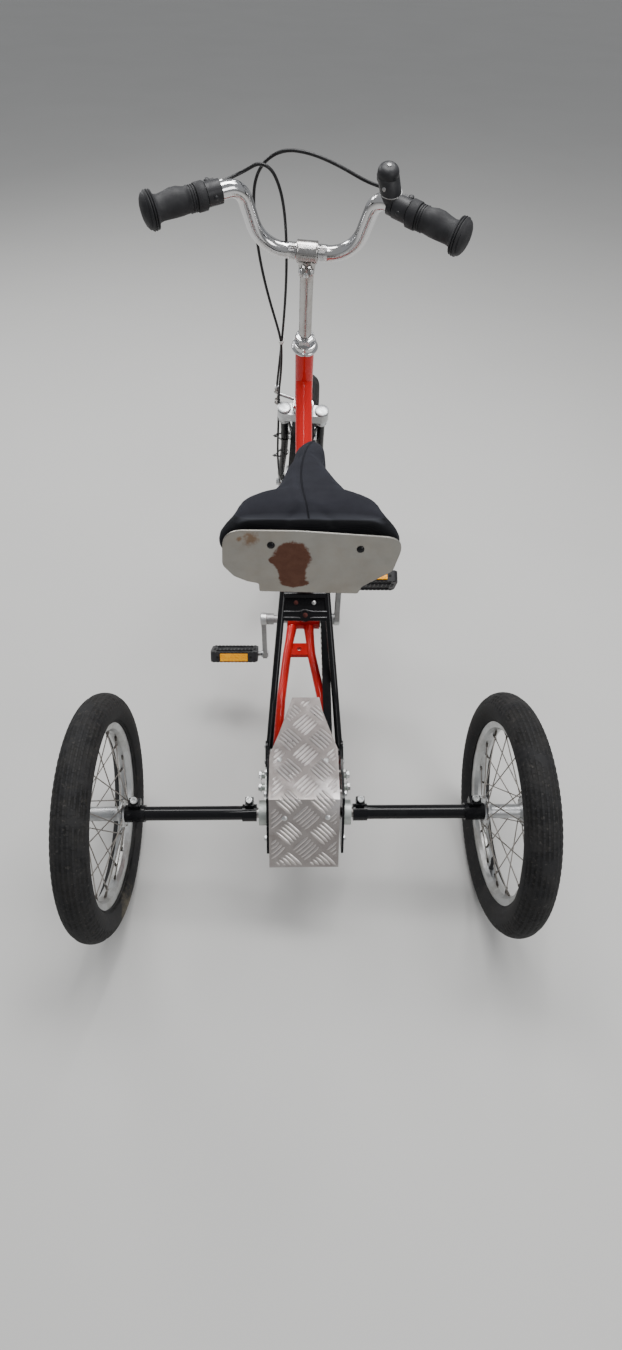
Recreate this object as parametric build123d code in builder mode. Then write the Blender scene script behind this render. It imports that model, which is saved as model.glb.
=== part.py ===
from build123d import *
import math
import os

os.makedirs("parts", exist_ok=True)

# Upright child's tricycle: one steered front wheel, two rear wheels on a clamped split axle.
# Millimetres. +Y is forward, +X is the rider's right, +Z is up, z = 0 is the floor.

# Driving sizes
wheelbase = 886.0
rear_radius = 203.0
front_radius = 250.0
rear_tyre_width = 54.0
front_tyre_width = 50.0
rear_tyre_height = 44.5
front_tyre_height = 43.0
tyre_wall = 5.0
rear_rim_radius = rear_radius - rear_tyre_height
front_rim_radius = front_radius - front_tyre_height
half_track = 338.0
head_angle = 20.6
steering_turn = 5.0
rake = 40.0
crown_to_axle = 306.0
fit_gap = 0.05
seat_gap = 0.3

# The rear axle lies so far behind the origin that the wheels' outer ends are centred on it
turned_reach = (front_radius - front_tyre_width / 2) * math.cos(math.radians(steering_turn)) + front_tyre_width / 2
rear_y = (rear_radius - wheelbase - turned_reach) / 2
front_y = rear_y + wheelbase
rear_axle = Vector(0, rear_y, rear_radius)

# Steering frame: origin at the fork crown's race, z up along the steering axis, y ahead of it
lean = math.radians(head_angle)
turn = math.radians(steering_turn)
axis_up = Vector(0, -math.sin(lean), math.cos(lean))
axis_ahead = Vector(0, math.cos(lean), math.sin(lean))
crown = Vector(0, front_y, front_radius) + axis_up * crown_to_axle - axis_ahead * rake
straight = Plane(origin=crown, x_dir=(1, 0, 0), z_dir=axis_up)
steer = Plane(
    origin=crown,
    x_dir=Vector(1, 0, 0) * math.cos(turn) - axis_ahead * math.sin(turn),
    z_dir=axis_up,
)

# Red frame
head_radius = 17.0
head_low = 14.0
head_high = 160.0
main_radius = 16.0
main_join = 84.0
stay_radius = 8.2
stay_root_radius = 10.6
seat_tube_radius = 14.3
seat_tube_length = 300.0
tube_wall = 2.0
bracket_ahead = 392.0
bracket_height = 270.0
shell_radius = 20.0
shell_length = 62.0
bridge_behind = 71.0
bridge_drop = 14.0
bridge_width = 42.0
bridge_depth = 30.0
bridge_thick = 8.0
bridge_hole_radius = 4.5
bracket = Vector(0, rear_y + bracket_ahead, bracket_height)
main_start = crown + axis_up * main_join
seat_top = bracket + axis_up * seat_tube_length

# Steerer, headset and stem, along the steering axis from the crown's race
race_thick = 12.0
cup_radius = 20.5
steerer_radius = 12.7
steerer_bore = 11.2
locknut_height = 12.0
stem_radius = 11.1
bar_height = 344.0
bar_radius = 11.1
clamp_radius = 15.5
clamp_width = 32.0
cup_top = head_high + race_thick
locknut_top = cup_top + locknut_height
stem_foot = 90.0

# Handlebar: flat middle, U bend, then grips that sweep back
bar_neck = 72.0
bar_rise = 92.0
bar_shoulder = 97.0
bar_half = 218.0
bar_sweep = 66.0
bend_low = 54.0
bend_high = 26.0
grip_radius = 15.5
grip_length = 84.0
grip_flange = 25.0
grip_flange_thick = 11.0
collar_thick = 14.0
lever_clamp_start = 85.5
lever_clamp_length = 21.5
bell_clamp_start = 108.5
bell_clamp_length = 8.0
cable_radius = 2.3
barrel_end_radius = 3.6

# Fork
fork_spread = 38.5
leg_radius = 8.0
leg_tip_radius = 7.0
shoulder_radius = 11.0
shoulder_length = 12.0
tip_spread = 51.0
dropout_spread = 46.5
crown_thick = 22.0
crown_depth = 28.0
dropout_thick = 5.0
dropout_radius = 13.0
axle_radius = 5.0
hub_brake_radius = 40.0
hub_brake_inner = 36.0
hub_brake_outer = 42.6

# Rear drive: side plates, bearings, half axles
unit_centre = -2.0
plate_inner = 59.5
plate_thick = 4.0
housing_thick = 13.4
housing_radius = 21.0
half_axle_radius = 8.5
sleeve_radius = 11.8
sleeve_wall = 2.4
sleeve_gap = 4.0
inner_clamp_length = 24.0
outer_clamp_start = 269.0
outer_clamp_length = 32.5
clamp_skin = 2.6
cover_thick = 3.0
cover_right = 53.0
cover_crease_height = rear_radius + 69.0
cover_front_height = rear_radius + 89.0
cover_front = 177.0
cover_crease = -14.0
cover_foot = -80.0
cover_foot_height = rear_radius - 38.0

# Wheels
rear_hub_half = 33.0
front_hub_half = 26.0
flange_radius = 26.2
flange_thick = 2.0
barrel_radius = 12.0
spoke_count = 28
spoke_radius = 1.0
spoke_pitch_radius = 24.0
elbow_reach = 1.2
spoke_cross = 2

# Cranks and pedals
crank_length = 100.0
crank_rise = 88.0
crank_plane_left = 79.0
crank_plane_right = 66.0
crank_thick = 9.0
spindle_radius = 8.0
chain_line = 39.5
ring_radius = 52.0
sprocket_radius = 30.0
drum_radius = 34.0
drum_half = 28.0
guard_inner = 31.0
guard_outer = 45.6
guard_wall = 1.6
guard_front_radius = 66.0
guard_back_radius = 44.0
guard_back = 60.0
pedal_length = 97.0
pedal_depth = 56.0
pedal_height = 20.5
pedal_gaps = {"left": 10.0, "right": 5.2}
pedal_tilts = {"left": 33.0, "right": 60.0}

# Saddle and its back plate
post_radius = 12.7
post_out = 75.0
post_top = seat_top + axis_up * post_out
saddle_lift = 11.0
saddle_thick = 60.0
saddle_low = post_top.Z + saddle_lift
saddle_top = saddle_low + saddle_thick
rail_radius = 3.5
rail_drop = 1.0
back_plate_behind = 127.0
back_plate_thick = 3.0
strap_drop = 15.0
strap_thick = 4.0
strap_half = 12.5
back_straps = (-51, 63)


# Shapes that repeat
def spot(x, ahead, height):
    """A point given by its distance ahead of the rear axle"""
    return Vector(x, rear_y + ahead, height)


def plate_face(side, out=0.0):
    """Where one side plate's inner face lies across the object, plus a distance outwards"""
    return unit_centre + side * (plate_inner + out)


def rod(start, end, radius, bore=0.0):
    """A straight round bar or tube from start to end"""
    run = Vector(end) - Vector(start)
    with BuildPart() as piece:
        with BuildSketch(Plane(origin=start, z_dir=run)):
            Circle(radius)
            if bore:
                Circle(bore, mode=Mode.SUBTRACT)
        extrude(amount=run.length)
    return piece.part


def cone(start, end, start_radius, end_radius):
    """A round bar that tapers from start to end"""
    run = Vector(end) - Vector(start)
    base = Plane(origin=start, z_dir=run)
    with BuildPart() as piece:
        with BuildSketch(base):
            Circle(start_radius)
        with BuildSketch(base.offset(run.length)):
            Circle(end_radius)
        loft()
    return piece.part


def bent(points, radii, radius, bore=0.0):
    """A round bar along straight runs joined by arcs"""
    with BuildPart() as piece:
        with BuildLine() as path:
            FilletPolyline(*points, radius=radii)
        with BuildSketch(path.line ^ 0):
            Circle(radius)
            if bore:
                Circle(bore, mode=Mode.SUBTRACT)
        sweep(path=path.line)
    return piece.part


def cord(points):
    """A cable along short runs, with each arc as large as its two runs allow"""
    points = [Vector(*point) for point in points]
    runs = [after - before for before, after in zip(points, points[1:])]
    radii = []
    for run, following in zip(runs, runs[1:]):
        half_turn = math.radians(run.get_angle(following) / 2)
        radii.append(0.45 * min(run.length, following.length) / math.tan(half_turn))
    print("arc radii:", [round(radius) for radius in radii])
    return bent(points, radii, cable_radius)


def band(centres, radii, bottom, width, wall):
    """A flat strap pulled round two upright rods"""
    with BuildPart() as piece:
        for extra, mode in ((wall, Mode.ADD), (0, Mode.SUBTRACT)):
            with BuildSketch(Plane.XY.offset(bottom)):
                for centre, radius in zip(centres, radii):
                    with Locations(centre):
                        Circle(radius + fit_gap + extra)
                make_hull()
            extrude(amount=width, mode=mode)
    return piece.part


def turned(points):
    """A solid of revolution about X from (along, radius) points"""
    with BuildPart() as piece:
        with BuildSketch(Plane.XY):
            with BuildLine():
                Polyline(*points, close=True)
            make_face()
        revolve(axis=Axis.X)
    return piece.part


# Wheels, about X through their own centre
def make_tyre(radius, width, rim_radius):
    section = width / 2
    seat = rim_radius + seat_gap
    with BuildPart() as tyre:
        with BuildSketch(Plane.XY):
            with Locations((0, radius - section)):
                Circle(section)
                Circle(section - tyre_wall, mode=Mode.SUBTRACT)
            with Locations((0, seat)):
                Rectangle(width, width, align=(Align.CENTER, Align.MAX), mode=Mode.SUBTRACT)
            for side in (-1, 1):
                with Locations((side * 14.0, seat)):
                    Rectangle(11.0, tyre_wall, align=(Align.CENTER, Align.MIN))
                with Locations((side * 10.4, seat)):
                    Rectangle(3.8, 7.0, align=(Align.CENTER, Align.MAX))
        revolve(axis=Axis.X)
    return tyre.part


def make_rim(rim_radius):
    lip = [(15.5, rim_radius), (12.6, rim_radius), (12.6, rim_radius - 9), (6.0, rim_radius - 13)]
    back = [(5.0, rim_radius - 20), (11.5, rim_radius - 16)]
    right = lip + [(0, rim_radius - 13)]
    outline = right + [(-x, r) for x, r in reversed(lip)] + [(-x, r) for x, r in reversed(back)] + back
    return turned(outline)


def make_hub(bore, hub_half):
    half = hub_half + flange_thick / 2
    inner = hub_half - flange_thick / 2
    with BuildPart() as hub:
        add(turned([
            (-half - 2, bore), (-half - 2, bore + 6), (-half, bore + 8), (-half, flange_radius),
            (-inner, flange_radius), (-inner, barrel_radius + 3), (-inner + 8, barrel_radius),
            (inner - 8, barrel_radius), (inner, barrel_radius + 3), (inner, flange_radius),
            (half, flange_radius), (half, bore + 8), (half + 2, bore + 6), (half + 2, bore),
        ]))
    return hub.part


def make_spokes(rim_radius, hub_half):
    step = 360 / (spoke_count / 2)
    bed = rim_radius - 20.4
    beside = flange_thick / 2 + spoke_radius + fit_gap
    with BuildPart() as spokes:
        for side in (-1, 1):
            for count in range(spoke_count // 2):
                way = 1 if count % 2 else -1
                at_hub = math.radians(step * (count + (0.5 if side > 0 else 0)))
                at_rim = at_hub + way * math.radians(step * spoke_cross)
                outer = elbow_reach if way == side else 0
                x_hub = side * hub_half + way * (beside + outer)
                start = Vector(x_hub, spoke_pitch_radius * math.cos(at_hub), spoke_pitch_radius * math.sin(at_hub))
                end = Vector(side * 2.5, bed * math.cos(at_rim), bed * math.sin(at_rim))
                add(rod(start, end, spoke_radius))
    return spokes.part


# Red frame
stay_lines = {
    side: [
        bracket + Vector(shell_end, -9, -4), bracket + Vector(bridge_end, -83, -13),
        spot(bend, 211, rear_radius + 42), spot(plate_face(side, -10.2), 94, rear_radius + 10),
    ]
    for side, shell_end, bridge_end, bend in ((-1, -21.5, -32.5, -43), (1, 9.5, 14.5, 31))
}
with BuildPart() as main_frame:
    add(rod(crown + axis_up * head_low, crown + axis_up * head_high, head_radius))
    add(rod(main_start, bracket, main_radius))
    add(rod(bracket, seat_top, seat_tube_radius))
    half_shell = Vector(shell_length / 2, 0, 0)
    add(rod(bracket - half_shell, bracket + half_shell, shell_radius))
    for side in (-1, 1):
        add(bent(stay_lines[side], [90, 120], stay_radius))
        add(cone(*stay_lines[side][:2], stay_root_radius, stay_radius - 1.5))
        with BuildSketch(Plane.YZ.offset(plate_face(side, -2.6) - 2.5)):
            with Locations((rear_y + 66, rear_radius + 4)):
                SlotOverall(64, 24)
        extrude(amount=5)
    with BuildSketch(Plane.XY.offset(bracket_height - bridge_drop)):
        with Locations((-9, bracket.Y - bridge_behind)):
            Rectangle(bridge_width, bridge_depth)
            Circle(bridge_hole_radius, mode=Mode.SUBTRACT)
    extrude(amount=bridge_thick / 2, both=True)
    # Bores for the steerer, the seat post and the crank spindle
    add(rod(crown, crown + axis_up * 200, head_radius - tube_wall), mode=Mode.SUBTRACT)
    add(rod(bracket + axis_up * 60, seat_top + axis_up, post_radius + fit_gap), mode=Mode.SUBTRACT)
    add(rod(bracket - half_shell * 2, bracket + half_shell * 2, shell_radius - 3), mode=Mode.SUBTRACT)

with BuildPart() as bearing_cups:
    for low, high in ((race_thick / 5, head_low), (head_high, cup_top)):
        add(rod(crown + axis_up * low, crown + axis_up * high, cup_radius, steerer_radius + fit_gap))
    for side in (-1, 1):
        edge = bracket + Vector(side * (shell_length / 2 - 12), 0, 0)
        add(rod(edge, edge + Vector(side * 14, 0, 0), shell_radius - 3 - fit_gap, spindle_radius + fit_gap))

# Seat post, clamp, saddle frame, saddle and back plate
with BuildPart() as seat_post:
    add(rod(bracket + axis_up * 150, post_top, post_radius))

with BuildPart() as seat_collar:
    add(rod(seat_top - axis_up * 20, seat_top - axis_up * 2, seat_tube_radius + 4, seat_tube_radius + fit_gap))
    with Locations(seat_top - axis_up * 11 + Vector(0, -seat_tube_radius - 6, 0)):
        Box(22, 10, 16)
    add(rod(seat_top - axis_up * 40, seat_top + axis_up * 20, seat_tube_radius + fit_gap), mode=Mode.SUBTRACT)

rail_rise = saddle_lift - rail_radius - seat_gap
with BuildPart() as saddle_frame:
    add(rod(post_top - axis_up * 22, post_top + axis_up * 2, 17, post_radius + fit_gap))
    add(rod(post_top + Vector(-32, -6, -rail_drop), post_top + Vector(32, -6, -rail_drop), 7))
    for side in (-1, 1):
        rail = [
            post_top + Vector(side * 14, 72, rail_rise),
            post_top + Vector(side * 21, 44, -rail_drop),
            post_top + Vector(side * 25, -50, -rail_drop),
            post_top + Vector(side * 52, -104, rail_rise),
        ]
        add(bent(rail, [40, 40], rail_radius))
    add(rod(post_top - axis_up * 60, post_top + axis_up, post_radius + fit_gap), mode=Mode.SUBTRACT)

# Two straps carry the back plate and reach forward to the seat clamp
strap_start = post_top.Y - back_plate_behind + seat_gap / 3
strap_low = Plane.XY.offset(post_top.Z - strap_drop)
with BuildPart() as plate_bracket:
    for across in back_straps:
        for depth, height in ((back_plate_behind, strap_thick), (strap_thick, 66)):
            with BuildSketch(strap_low):
                with Locations((across, strap_start)):
                    Rectangle(2 * strap_half, depth, align=(Align.CENTER, Align.MIN))
            extrude(amount=height)
    with BuildSketch(strap_low):
        with Locations((sum(back_straps) / 2, post_top.Y)):
            Rectangle(back_straps[1] - back_straps[0] + 2 * strap_half, 26, align=(Align.CENTER, Align.MAX))
    extrude(amount=strap_thick)
    add(rod(post_top - axis_up * 40, post_top + axis_up * 20, 17 + seat_gap), mode=Mode.SUBTRACT)

# Half of the saddle's outline: distance from the middle, distance ahead of the post, corner radius
saddle_edge = [(112, -114, 14), (119, -88, 14), (100, -65, 14), (62, -45, 20), (40, 1, 30),
               (26, 40, 60), (19, 85, 40), (14, 104, 8)]
saddle_middle = -20.0


def saddle_ring(height, narrow, shorten):
    outline = [(x * narrow, saddle_middle + (y - saddle_middle) * shorten, r * narrow) for x, y, r in saddle_edge]
    outline += [(-x, y, r) for x, y, r in reversed(outline)]
    with BuildSketch(Plane.XY.offset(height)) as ring:
        with BuildLine():
            corners = [(x, post_top.Y + y) for x, y, r in outline]
            FilletPolyline(*corners, radius=[r for x, y, r in outline], close=True)
        make_face()
    return ring.sketch


with BuildPart() as saddle:
    add(saddle_ring(saddle_low, 1.0, 1.0))
    add(saddle_ring(saddle_low + 34, 0.97, 0.98))
    add(saddle_ring(saddle_top, 0.82, 0.9))
    loft()

# The back plate's corners: distance to the right, height above the saddle's foot, corner radius
plate_edge = [(-116, 1, 10), (-111, 57.5, 18), (-18, 56.8, 300), (121, 46.5, 20), (110, -8, 15), (68, -50, 5),
              (-44, -49.5, 30), (-70, -46, 4), (-70, -31, 5), (-101, -19, 14)]
with BuildPart() as back_plate:
    with BuildSketch(Plane(origin=(0, post_top.Y - back_plate_behind, saddle_low), z_dir=(0, -1, 0))):
        with BuildLine():
            FilletPolyline(*[(x, z) for x, z, r in plate_edge], radius=[r for x, z, r in plate_edge], close=True)
        make_face()
    extrude(amount=back_plate_thick)

# Black stays of the rear axle kit, with the yoke that bolts them to the seat tube
yoke_up = 143.15
yoke_behind = 23.15
stay_bend_ahead = 192.0
stay_bend_height = rear_radius + 80.0
top_bar = bracket + axis_up * yoke_up - Vector(0, yoke_behind, 0)
yoke_lean = math.atan2(stay_bend_height - top_bar.Z, rear_y + stay_bend_ahead - top_bar.Y)
yoke_down = Vector(0, math.cos(yoke_lean), math.sin(yoke_lean))
yoke_out = Vector(0, math.sin(yoke_lean), -math.cos(yoke_lean))
black_stay_radius = 6.2
black_stay_lines = {
    side: [
        top_bar + Vector(top, 11.5, 11), spot(bend, stay_bend_ahead, stay_bend_height),
        spot(plate_face(side, 1.5), 104, rear_radius + 37),
    ]
    for side, top, bend in ((-1, -38, -55.5), (1, 37, 53.5))
}
with BuildPart() as stays:
    for side in (-1, 1):
        add(bent(black_stay_lines[side], [150], black_stay_radius))
        tab = plate_face(side, plate_thick + seat_gap / 3)
        with BuildSketch(Plane.YZ.offset(min(tab, tab + side * 4))):
            with Locations((rear_y + 96, rear_radius + 33)):
                SlotOverall(46, 18, rotation=26)
        extrude(amount=4)
    add(rod(top_bar - Vector(37, 0, 0), top_bar + Vector(37, 0, 0), 7))
    with BuildSketch(Plane(origin=top_bar + yoke_down * 18, x_dir=(1, 0, 0), z_dir=yoke_out)):
        Rectangle(78, 36)
    extrude(amount=2, both=True)
    fold = top_bar + yoke_down * 38
    with BuildSketch(Plane(origin=fold, x_dir=(1, 0, 0), z_dir=yoke_out)):
        Rectangle(84, 15)
    extrude(amount=5, both=True)
    add(rod(fold - yoke_out * 5, fold + yoke_out * 7, 9))

# Side plates, outlined ahead of the axle and above it, and bearing housings
side_plate = [(138, 19), (110, 42), (60, 72), (-10, 65), (-62, -25), (-40, -35), (70, -27), (134, -7)]
with BuildPart() as side_plates:
    for side in (-1, 1):
        with BuildSketch(Plane.YZ.offset(min(plate_face(side), plate_face(side, plate_thick)))):
            with BuildLine():
                Polyline(*[(rear_y + ahead, rear_radius + above) for ahead, above in side_plate], close=True)
            make_face()
            with Locations((rear_y, rear_radius)):
                Circle(half_axle_radius + 4, mode=Mode.SUBTRACT)
        extrude(amount=plate_thick)
        # Notch for the stay's end
        bend, foot = black_stay_lines[side][1:]
        along = (foot - bend).normalized()
        add(rod(foot - along * 60, foot + along * seat_gap, black_stay_radius + 2 * fit_gap), mode=Mode.SUBTRACT)

with BuildPart() as bearing_housings:
    for side in (-1, 1):
        face = plate_face(side, plate_thick + seat_gap / 3)
        outer = face + side * housing_thick
        add(rod((face, rear_y, rear_radius), (outer, rear_y, rear_radius), housing_radius, half_axle_radius + fit_gap))
        with BuildSketch(Plane.YZ.offset(min(face, face + side * 4))):
            with Locations((rear_y + 50, rear_radius + 2)):
                SlotOverall(88, 26)
            with Locations((rear_y, rear_radius)):
                Circle(housing_radius - 2, mode=Mode.SUBTRACT)
        extrude(amount=4)
        for ahead in (48, 72):
            bolt = spot(face + side * 4, ahead, rear_radius + 2)
            add(rod(bolt, bolt + Vector(side * 7, 0, 0), 6))

# Tread plate cover: flat top, bend at the crease, sloping rear face, flanges inside the side plates
cover_left = plate_face(-1, -seat_gap)
cover_edges = [
    [(cover_left, 64), (-57, 76), (-46, 105), (-31, 151), (-23, cover_front)],
    [(cover_right, 76), (41, 112), (29, 151), (24.7, cover_front)],
]
with BuildPart() as drive_cover:
    with BuildSketch(Plane.YZ.offset(cover_left)):
        with BuildLine():
            Polyline(
                (rear_y + cover_front, cover_front_height), (rear_y + cover_crease, cover_crease_height),
                (rear_y + cover_foot, cover_foot_height),
                (rear_y + cover_foot + cover_thick, cover_foot_height - 1.5),
                (rear_y + cover_crease + 1.5, cover_crease_height - cover_thick),
                (rear_y + cover_front, cover_front_height - cover_thick), close=True,
            )
        make_face()
    extrude(amount=cover_right - cover_left)
    for edge in (cover_left, cover_right - cover_thick):
        with BuildSketch(Plane.YZ.offset(edge)):
            with BuildLine():
                Polyline(
                    (rear_y + cover_crease + 2, cover_crease_height - 2), (rear_y + 58, cover_crease_height + 5),
                    (rear_y + 52, cover_crease_height - 14), (rear_y - 14, cover_crease_height - 20), close=True,
                )
            make_face()
        extrude(amount=cover_thick)
    for ahead in (5, 42):
        spacer = Vector(cover_right - 1, rear_y + ahead, cover_crease_height - 9)
        add(rod(spacer, Vector(plate_face(1, -seat_gap / 3), spacer.Y, spacer.Z), 4))
    with BuildSketch(Plane.XY.offset(cover_crease_height - 25)):
        for edge in cover_edges:
            outside = math.copysign(80, edge[0][0])
            beyond = [
                (edge[-1][0], cover_front + 5), (outside, cover_front + 5), (outside, edge[0][1]),
            ]
            with BuildLine():
                Polyline(*[(x, rear_y + ahead) for x, ahead in edge + beyond], close=True)
            make_face()
    extrude(amount=60, mode=Mode.SUBTRACT)

# Chain guard: a plate outside the chain with a turned-in top, from the bracket to under the cover
run_slope = (bracket_height - rear_radius) / bracket_ahead
guard_back_at = (rear_y + guard_back, rear_radius + run_slope * guard_back)
guard_cut = 76.0
guard_reach = 2 * guard_front_radius
guard_top = rear_radius + 2 * guard_reach
guard_bottom = rear_radius - guard_reach
with BuildPart() as chain_guard:
    for inner, outer, inset, mode in (
        (guard_inner, guard_outer, 0, Mode.ADD),
        (guard_inner, guard_outer - guard_wall, guard_wall, Mode.SUBTRACT),
    ):
        with BuildSketch(Plane.YZ.offset(inner)):
            with Locations((bracket.Y, bracket.Z)):
                Circle(guard_front_radius - inset)
            with Locations(guard_back_at):
                Circle(guard_back_radius - inset)
            make_hull()
        extrude(amount=outer - inner, mode=mode)
    with BuildSketch(Plane.YZ.offset(guard_inner - 1)):
        with BuildLine():
            Polyline(
                (bracket.Y + guard_reach, bracket_height + run_slope * guard_reach),
                (rear_y + guard_cut, rear_radius + run_slope * guard_cut), (rear_y + guard_cut, guard_top),
                (rear_y - guard_cut, guard_top), (rear_y - guard_cut, guard_bottom),
                (bracket.Y + guard_reach, guard_bottom), close=True,
            )
        make_face()
        with Locations((bracket.Y, bracket.Z)):
            Circle(28)
    extrude(amount=guard_outer, mode=Mode.SUBTRACT)
    for before, after in zip(stay_lines[1], stay_lines[1][1:]):
        add(rod(before, after, stay_radius + 2.5), mode=Mode.SUBTRACT)
    guard_bolt = spot(0, 90, rear_radius + 44)
    add(rod(guard_bolt + Vector(guard_outer - 1, 0, 0), guard_bolt + Vector(plate_face(1, -seat_gap / 3), 0, 0), 4))

# Drum of the rear hub with the sprocket on its flank
with BuildPart() as drive_hub:
    bore = half_axle_radius + fit_gap
    outline = turned([
        (-drum_half, bore), (-drum_half, drum_radius), (drum_half, drum_radius), (drum_half, 16),
        (chain_line - 1.5, 16), (chain_line - 1.5, sprocket_radius), (chain_line + 1.5, sprocket_radius),
        (chain_line + 1.5, 16), (chain_line + 7, 16), (chain_line + 7, bore),
    ])
    add(Location(rear_axle) * outline)

# Half axles with their sleeves and clamps, one with each rear wheel
half_axles = {}
sleeves = {}
for side, word in ((-1, "left"), (1, "right")):
    out = Vector(side, 0, 0)
    inner_clamp_start = side * plate_face(side, plate_thick + housing_thick + sleeve_gap)
    with BuildPart() as half_axle:
        add(rod(rear_axle + out * 3, rear_axle + out * (half_track + rear_hub_half + 22), half_axle_radius))
    half_axles[word] = half_axle
    with BuildPart() as sleeve:
        low = rear_axle + out * inner_clamp_start
        high = rear_axle + out * (outer_clamp_start + outer_clamp_length)
        add(rod(low, high, sleeve_radius, half_axle_radius + fit_gap))
        for start, length in ((inner_clamp_start, inner_clamp_length), (outer_clamp_start, outer_clamp_length)):
            a = rear_axle + out * start
            add(rod(a, a + out * length, sleeve_radius + clamp_skin, sleeve_radius - 1))
            with Locations(rear_axle + out * (start + length / 2) + Vector(0, 9, 16)):
                Box(length * 0.6, 16, 14)
            bolt = rear_axle + out * (start + length / 2) + Vector(0, 12, 20)
            add(rod(bolt, bolt + Vector(0, -3, 8), 5.5))
        add(rod(low - out, high + out, half_axle_radius + fit_gap), mode=Mode.SUBTRACT)
    sleeves[word] = sleeve

# Cranks with their spindle and pedal pins
pedals = {}
pedal_axes = {}
with BuildPart() as cranks:
    add(rod(bracket - Vector(crank_plane_left + 4, 0, 0), bracket + Vector(crank_plane_right + 4, 0, 0), spindle_radius))
    for side, word, plane_x in ((-1, "left", crank_plane_left), (1, "right", crank_plane_right)):
        rise = math.radians(crank_rise)
        pedal_centre = bracket + Vector(
            side * plane_x, side * crank_length * math.cos(rise), side * crank_length * math.sin(rise)
        )
        pedal_axes[word] = pedal_centre
        with BuildSketch(Plane.YZ.offset(side * plane_x - crank_thick / 2)):
            with Locations((bracket.Y, bracket.Z)):
                Circle(12)
            with Locations((pedal_centre.Y, pedal_centre.Z)):
                Circle(10)
            make_hull()
        extrude(amount=crank_thick)
        boss = bracket + Vector(side * (plane_x - 20), 0, 0)
        add(rod(boss, bracket + Vector(side * (plane_x + 5), 0, 0), 11))
        pin = pedal_centre + Vector(side * crank_thick / 2, 0, 0)
        pin_end = pedal_gaps[word] + pedal_length - 5
        add(rod(pin - Vector(side * 3, 0, 0), pin + Vector(side * pin_end, 0, 0), 4.5))

for side, word in ((-1, "left"), (1, "right")):
    pin = pedal_axes[word] + Vector(side * crank_thick / 2, 0, 0)
    middle = pin + Vector(side * (pedal_gaps[word] + pedal_length / 2), 0, 0)
    place = Location(middle, (-pedal_tilts[word], 0, 0))
    with BuildPart() as pedal:
        Box(pedal_length, pedal_depth, pedal_height)
        for fore in (-1, 1):
            with Locations((0, fore * 16, 0)):
                Box(pedal_length - 22, 12, pedal_height + 2, mode=Mode.SUBTRACT)
        fillet(pedal.edges().filter_by(Axis.Z).group_by(Axis.X)[0], 8)
        fillet(pedal.edges().filter_by(Axis.Z).group_by(Axis.X)[-1], 8)
        bore_end = side * (pedal_length / 2 - 4)
        add(rod((-side * pedal_length, 0, 0), (bore_end, 0, 0), 4.5 + fit_gap), mode=Mode.SUBTRACT)
    with BuildPart() as reflector:
        for fore in (-1, 1):
            with Locations((0, fore * (pedal_depth / 2 + 2.2), 0)):
                Box(56, 4, 15)
    pedals[word] = (place * pedal.part, place * reflector.part)

with BuildPart() as chainring:
    at = bracket + Vector(chain_line - 1.5, 0, 0)
    add(rod(at, at + Vector(3, 0, 0), ring_radius, spindle_radius + 12))
    add(rod(at, bracket + Vector(crank_plane_right - 20.5, 0, 0), spindle_radius + 14, spindle_radius + fit_gap))

with BuildPart() as chain:
    for extra, mode in ((6, Mode.ADD), (0.6, Mode.SUBTRACT)):
        with BuildSketch(Plane.YZ.offset(chain_line - 3.5)):
            with Locations((rear_y, rear_radius)):
                Circle(sprocket_radius + extra)
            with Locations((bracket.Y, bracket.Z)):
                Circle(ring_radius + extra)
            make_hull()
        extrude(amount=7, mode=mode)

# Steering pieces, drawn with the steering axis upright and placed by the steering frame at the end
with BuildPart() as fork:
    add(rod((0, 0, -crown_thick), (0, 0, locknut_top - 2), steerer_radius, steerer_bore))
    for side in (-1, 1):
        leg = [
            Vector(side * fork_spread, 0, -6),
            Vector(side * fork_spread, 3, -118),
            Vector(side * tip_spread, 27, -250),
            Vector(side * tip_spread, rake, -crown_to_axle + 14),
        ]
        add(bent(leg, [260, 90], leg_radius))
        with BuildSketch(Plane.YZ.offset(side * dropout_spread - dropout_thick / 2)):
            with Locations((rake, -crown_to_axle)):
                Circle(dropout_radius)
            with Locations((rake, -crown_to_axle + 15)):
                Rectangle(14, 20)
            with Locations((rake, -crown_to_axle)):
                Circle(axle_radius + fit_gap, mode=Mode.SUBTRACT)
        extrude(amount=dropout_thick)

with BuildPart() as fork_crown:
    with BuildSketch(Plane.XY.offset(-crown_thick)):
        SlotOverall(2 * fork_spread + crown_depth, crown_depth)
    extrude(amount=crown_thick - 2)
    add(rod((0, 0, -2), (0, 0, 2), cup_radius - 1))
    for side in (-1, 1):
        top, knee = Vector(side * fork_spread, 0, -6), Vector(side * fork_spread, 3, -118)
        foot = (side * fork_spread, 0, -crown_thick - shoulder_length)
        add(rod(foot, (side * fork_spread, 0, -crown_thick), shoulder_radius))
        add(rod((side * fork_spread, 0, -3), (side * fork_spread, 0, 1), shoulder_radius + 1.5))
        add(rod(knee, top + Vector(0, 0, fit_gap), leg_radius + fit_gap), mode=Mode.SUBTRACT)
    add(rod((0, 0, -crown_thick - 1), (0, 0, 3), steerer_radius + fit_gap), mode=Mode.SUBTRACT)

with BuildPart() as front_axle:
    reach = dropout_spread + dropout_thick / 2
    level = Vector(0, rake, -crown_to_axle)
    add(rod(level - Vector(reach + 14, 0, 0), level + Vector(reach + 14, 0, 0), axle_radius))
    for side in (-1, 1):
        nut = level + Vector(side * (reach + fit_gap), 0, 0)
        add(rod(nut, nut + Vector(side * 8, 0, 0), 9))
    spacer = level + Vector(front_hub_half + 4, 0, 0)
    add(rod(spacer, level + Vector(dropout_spread - dropout_thick / 2 - fit_gap, 0, 0), 9))

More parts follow.
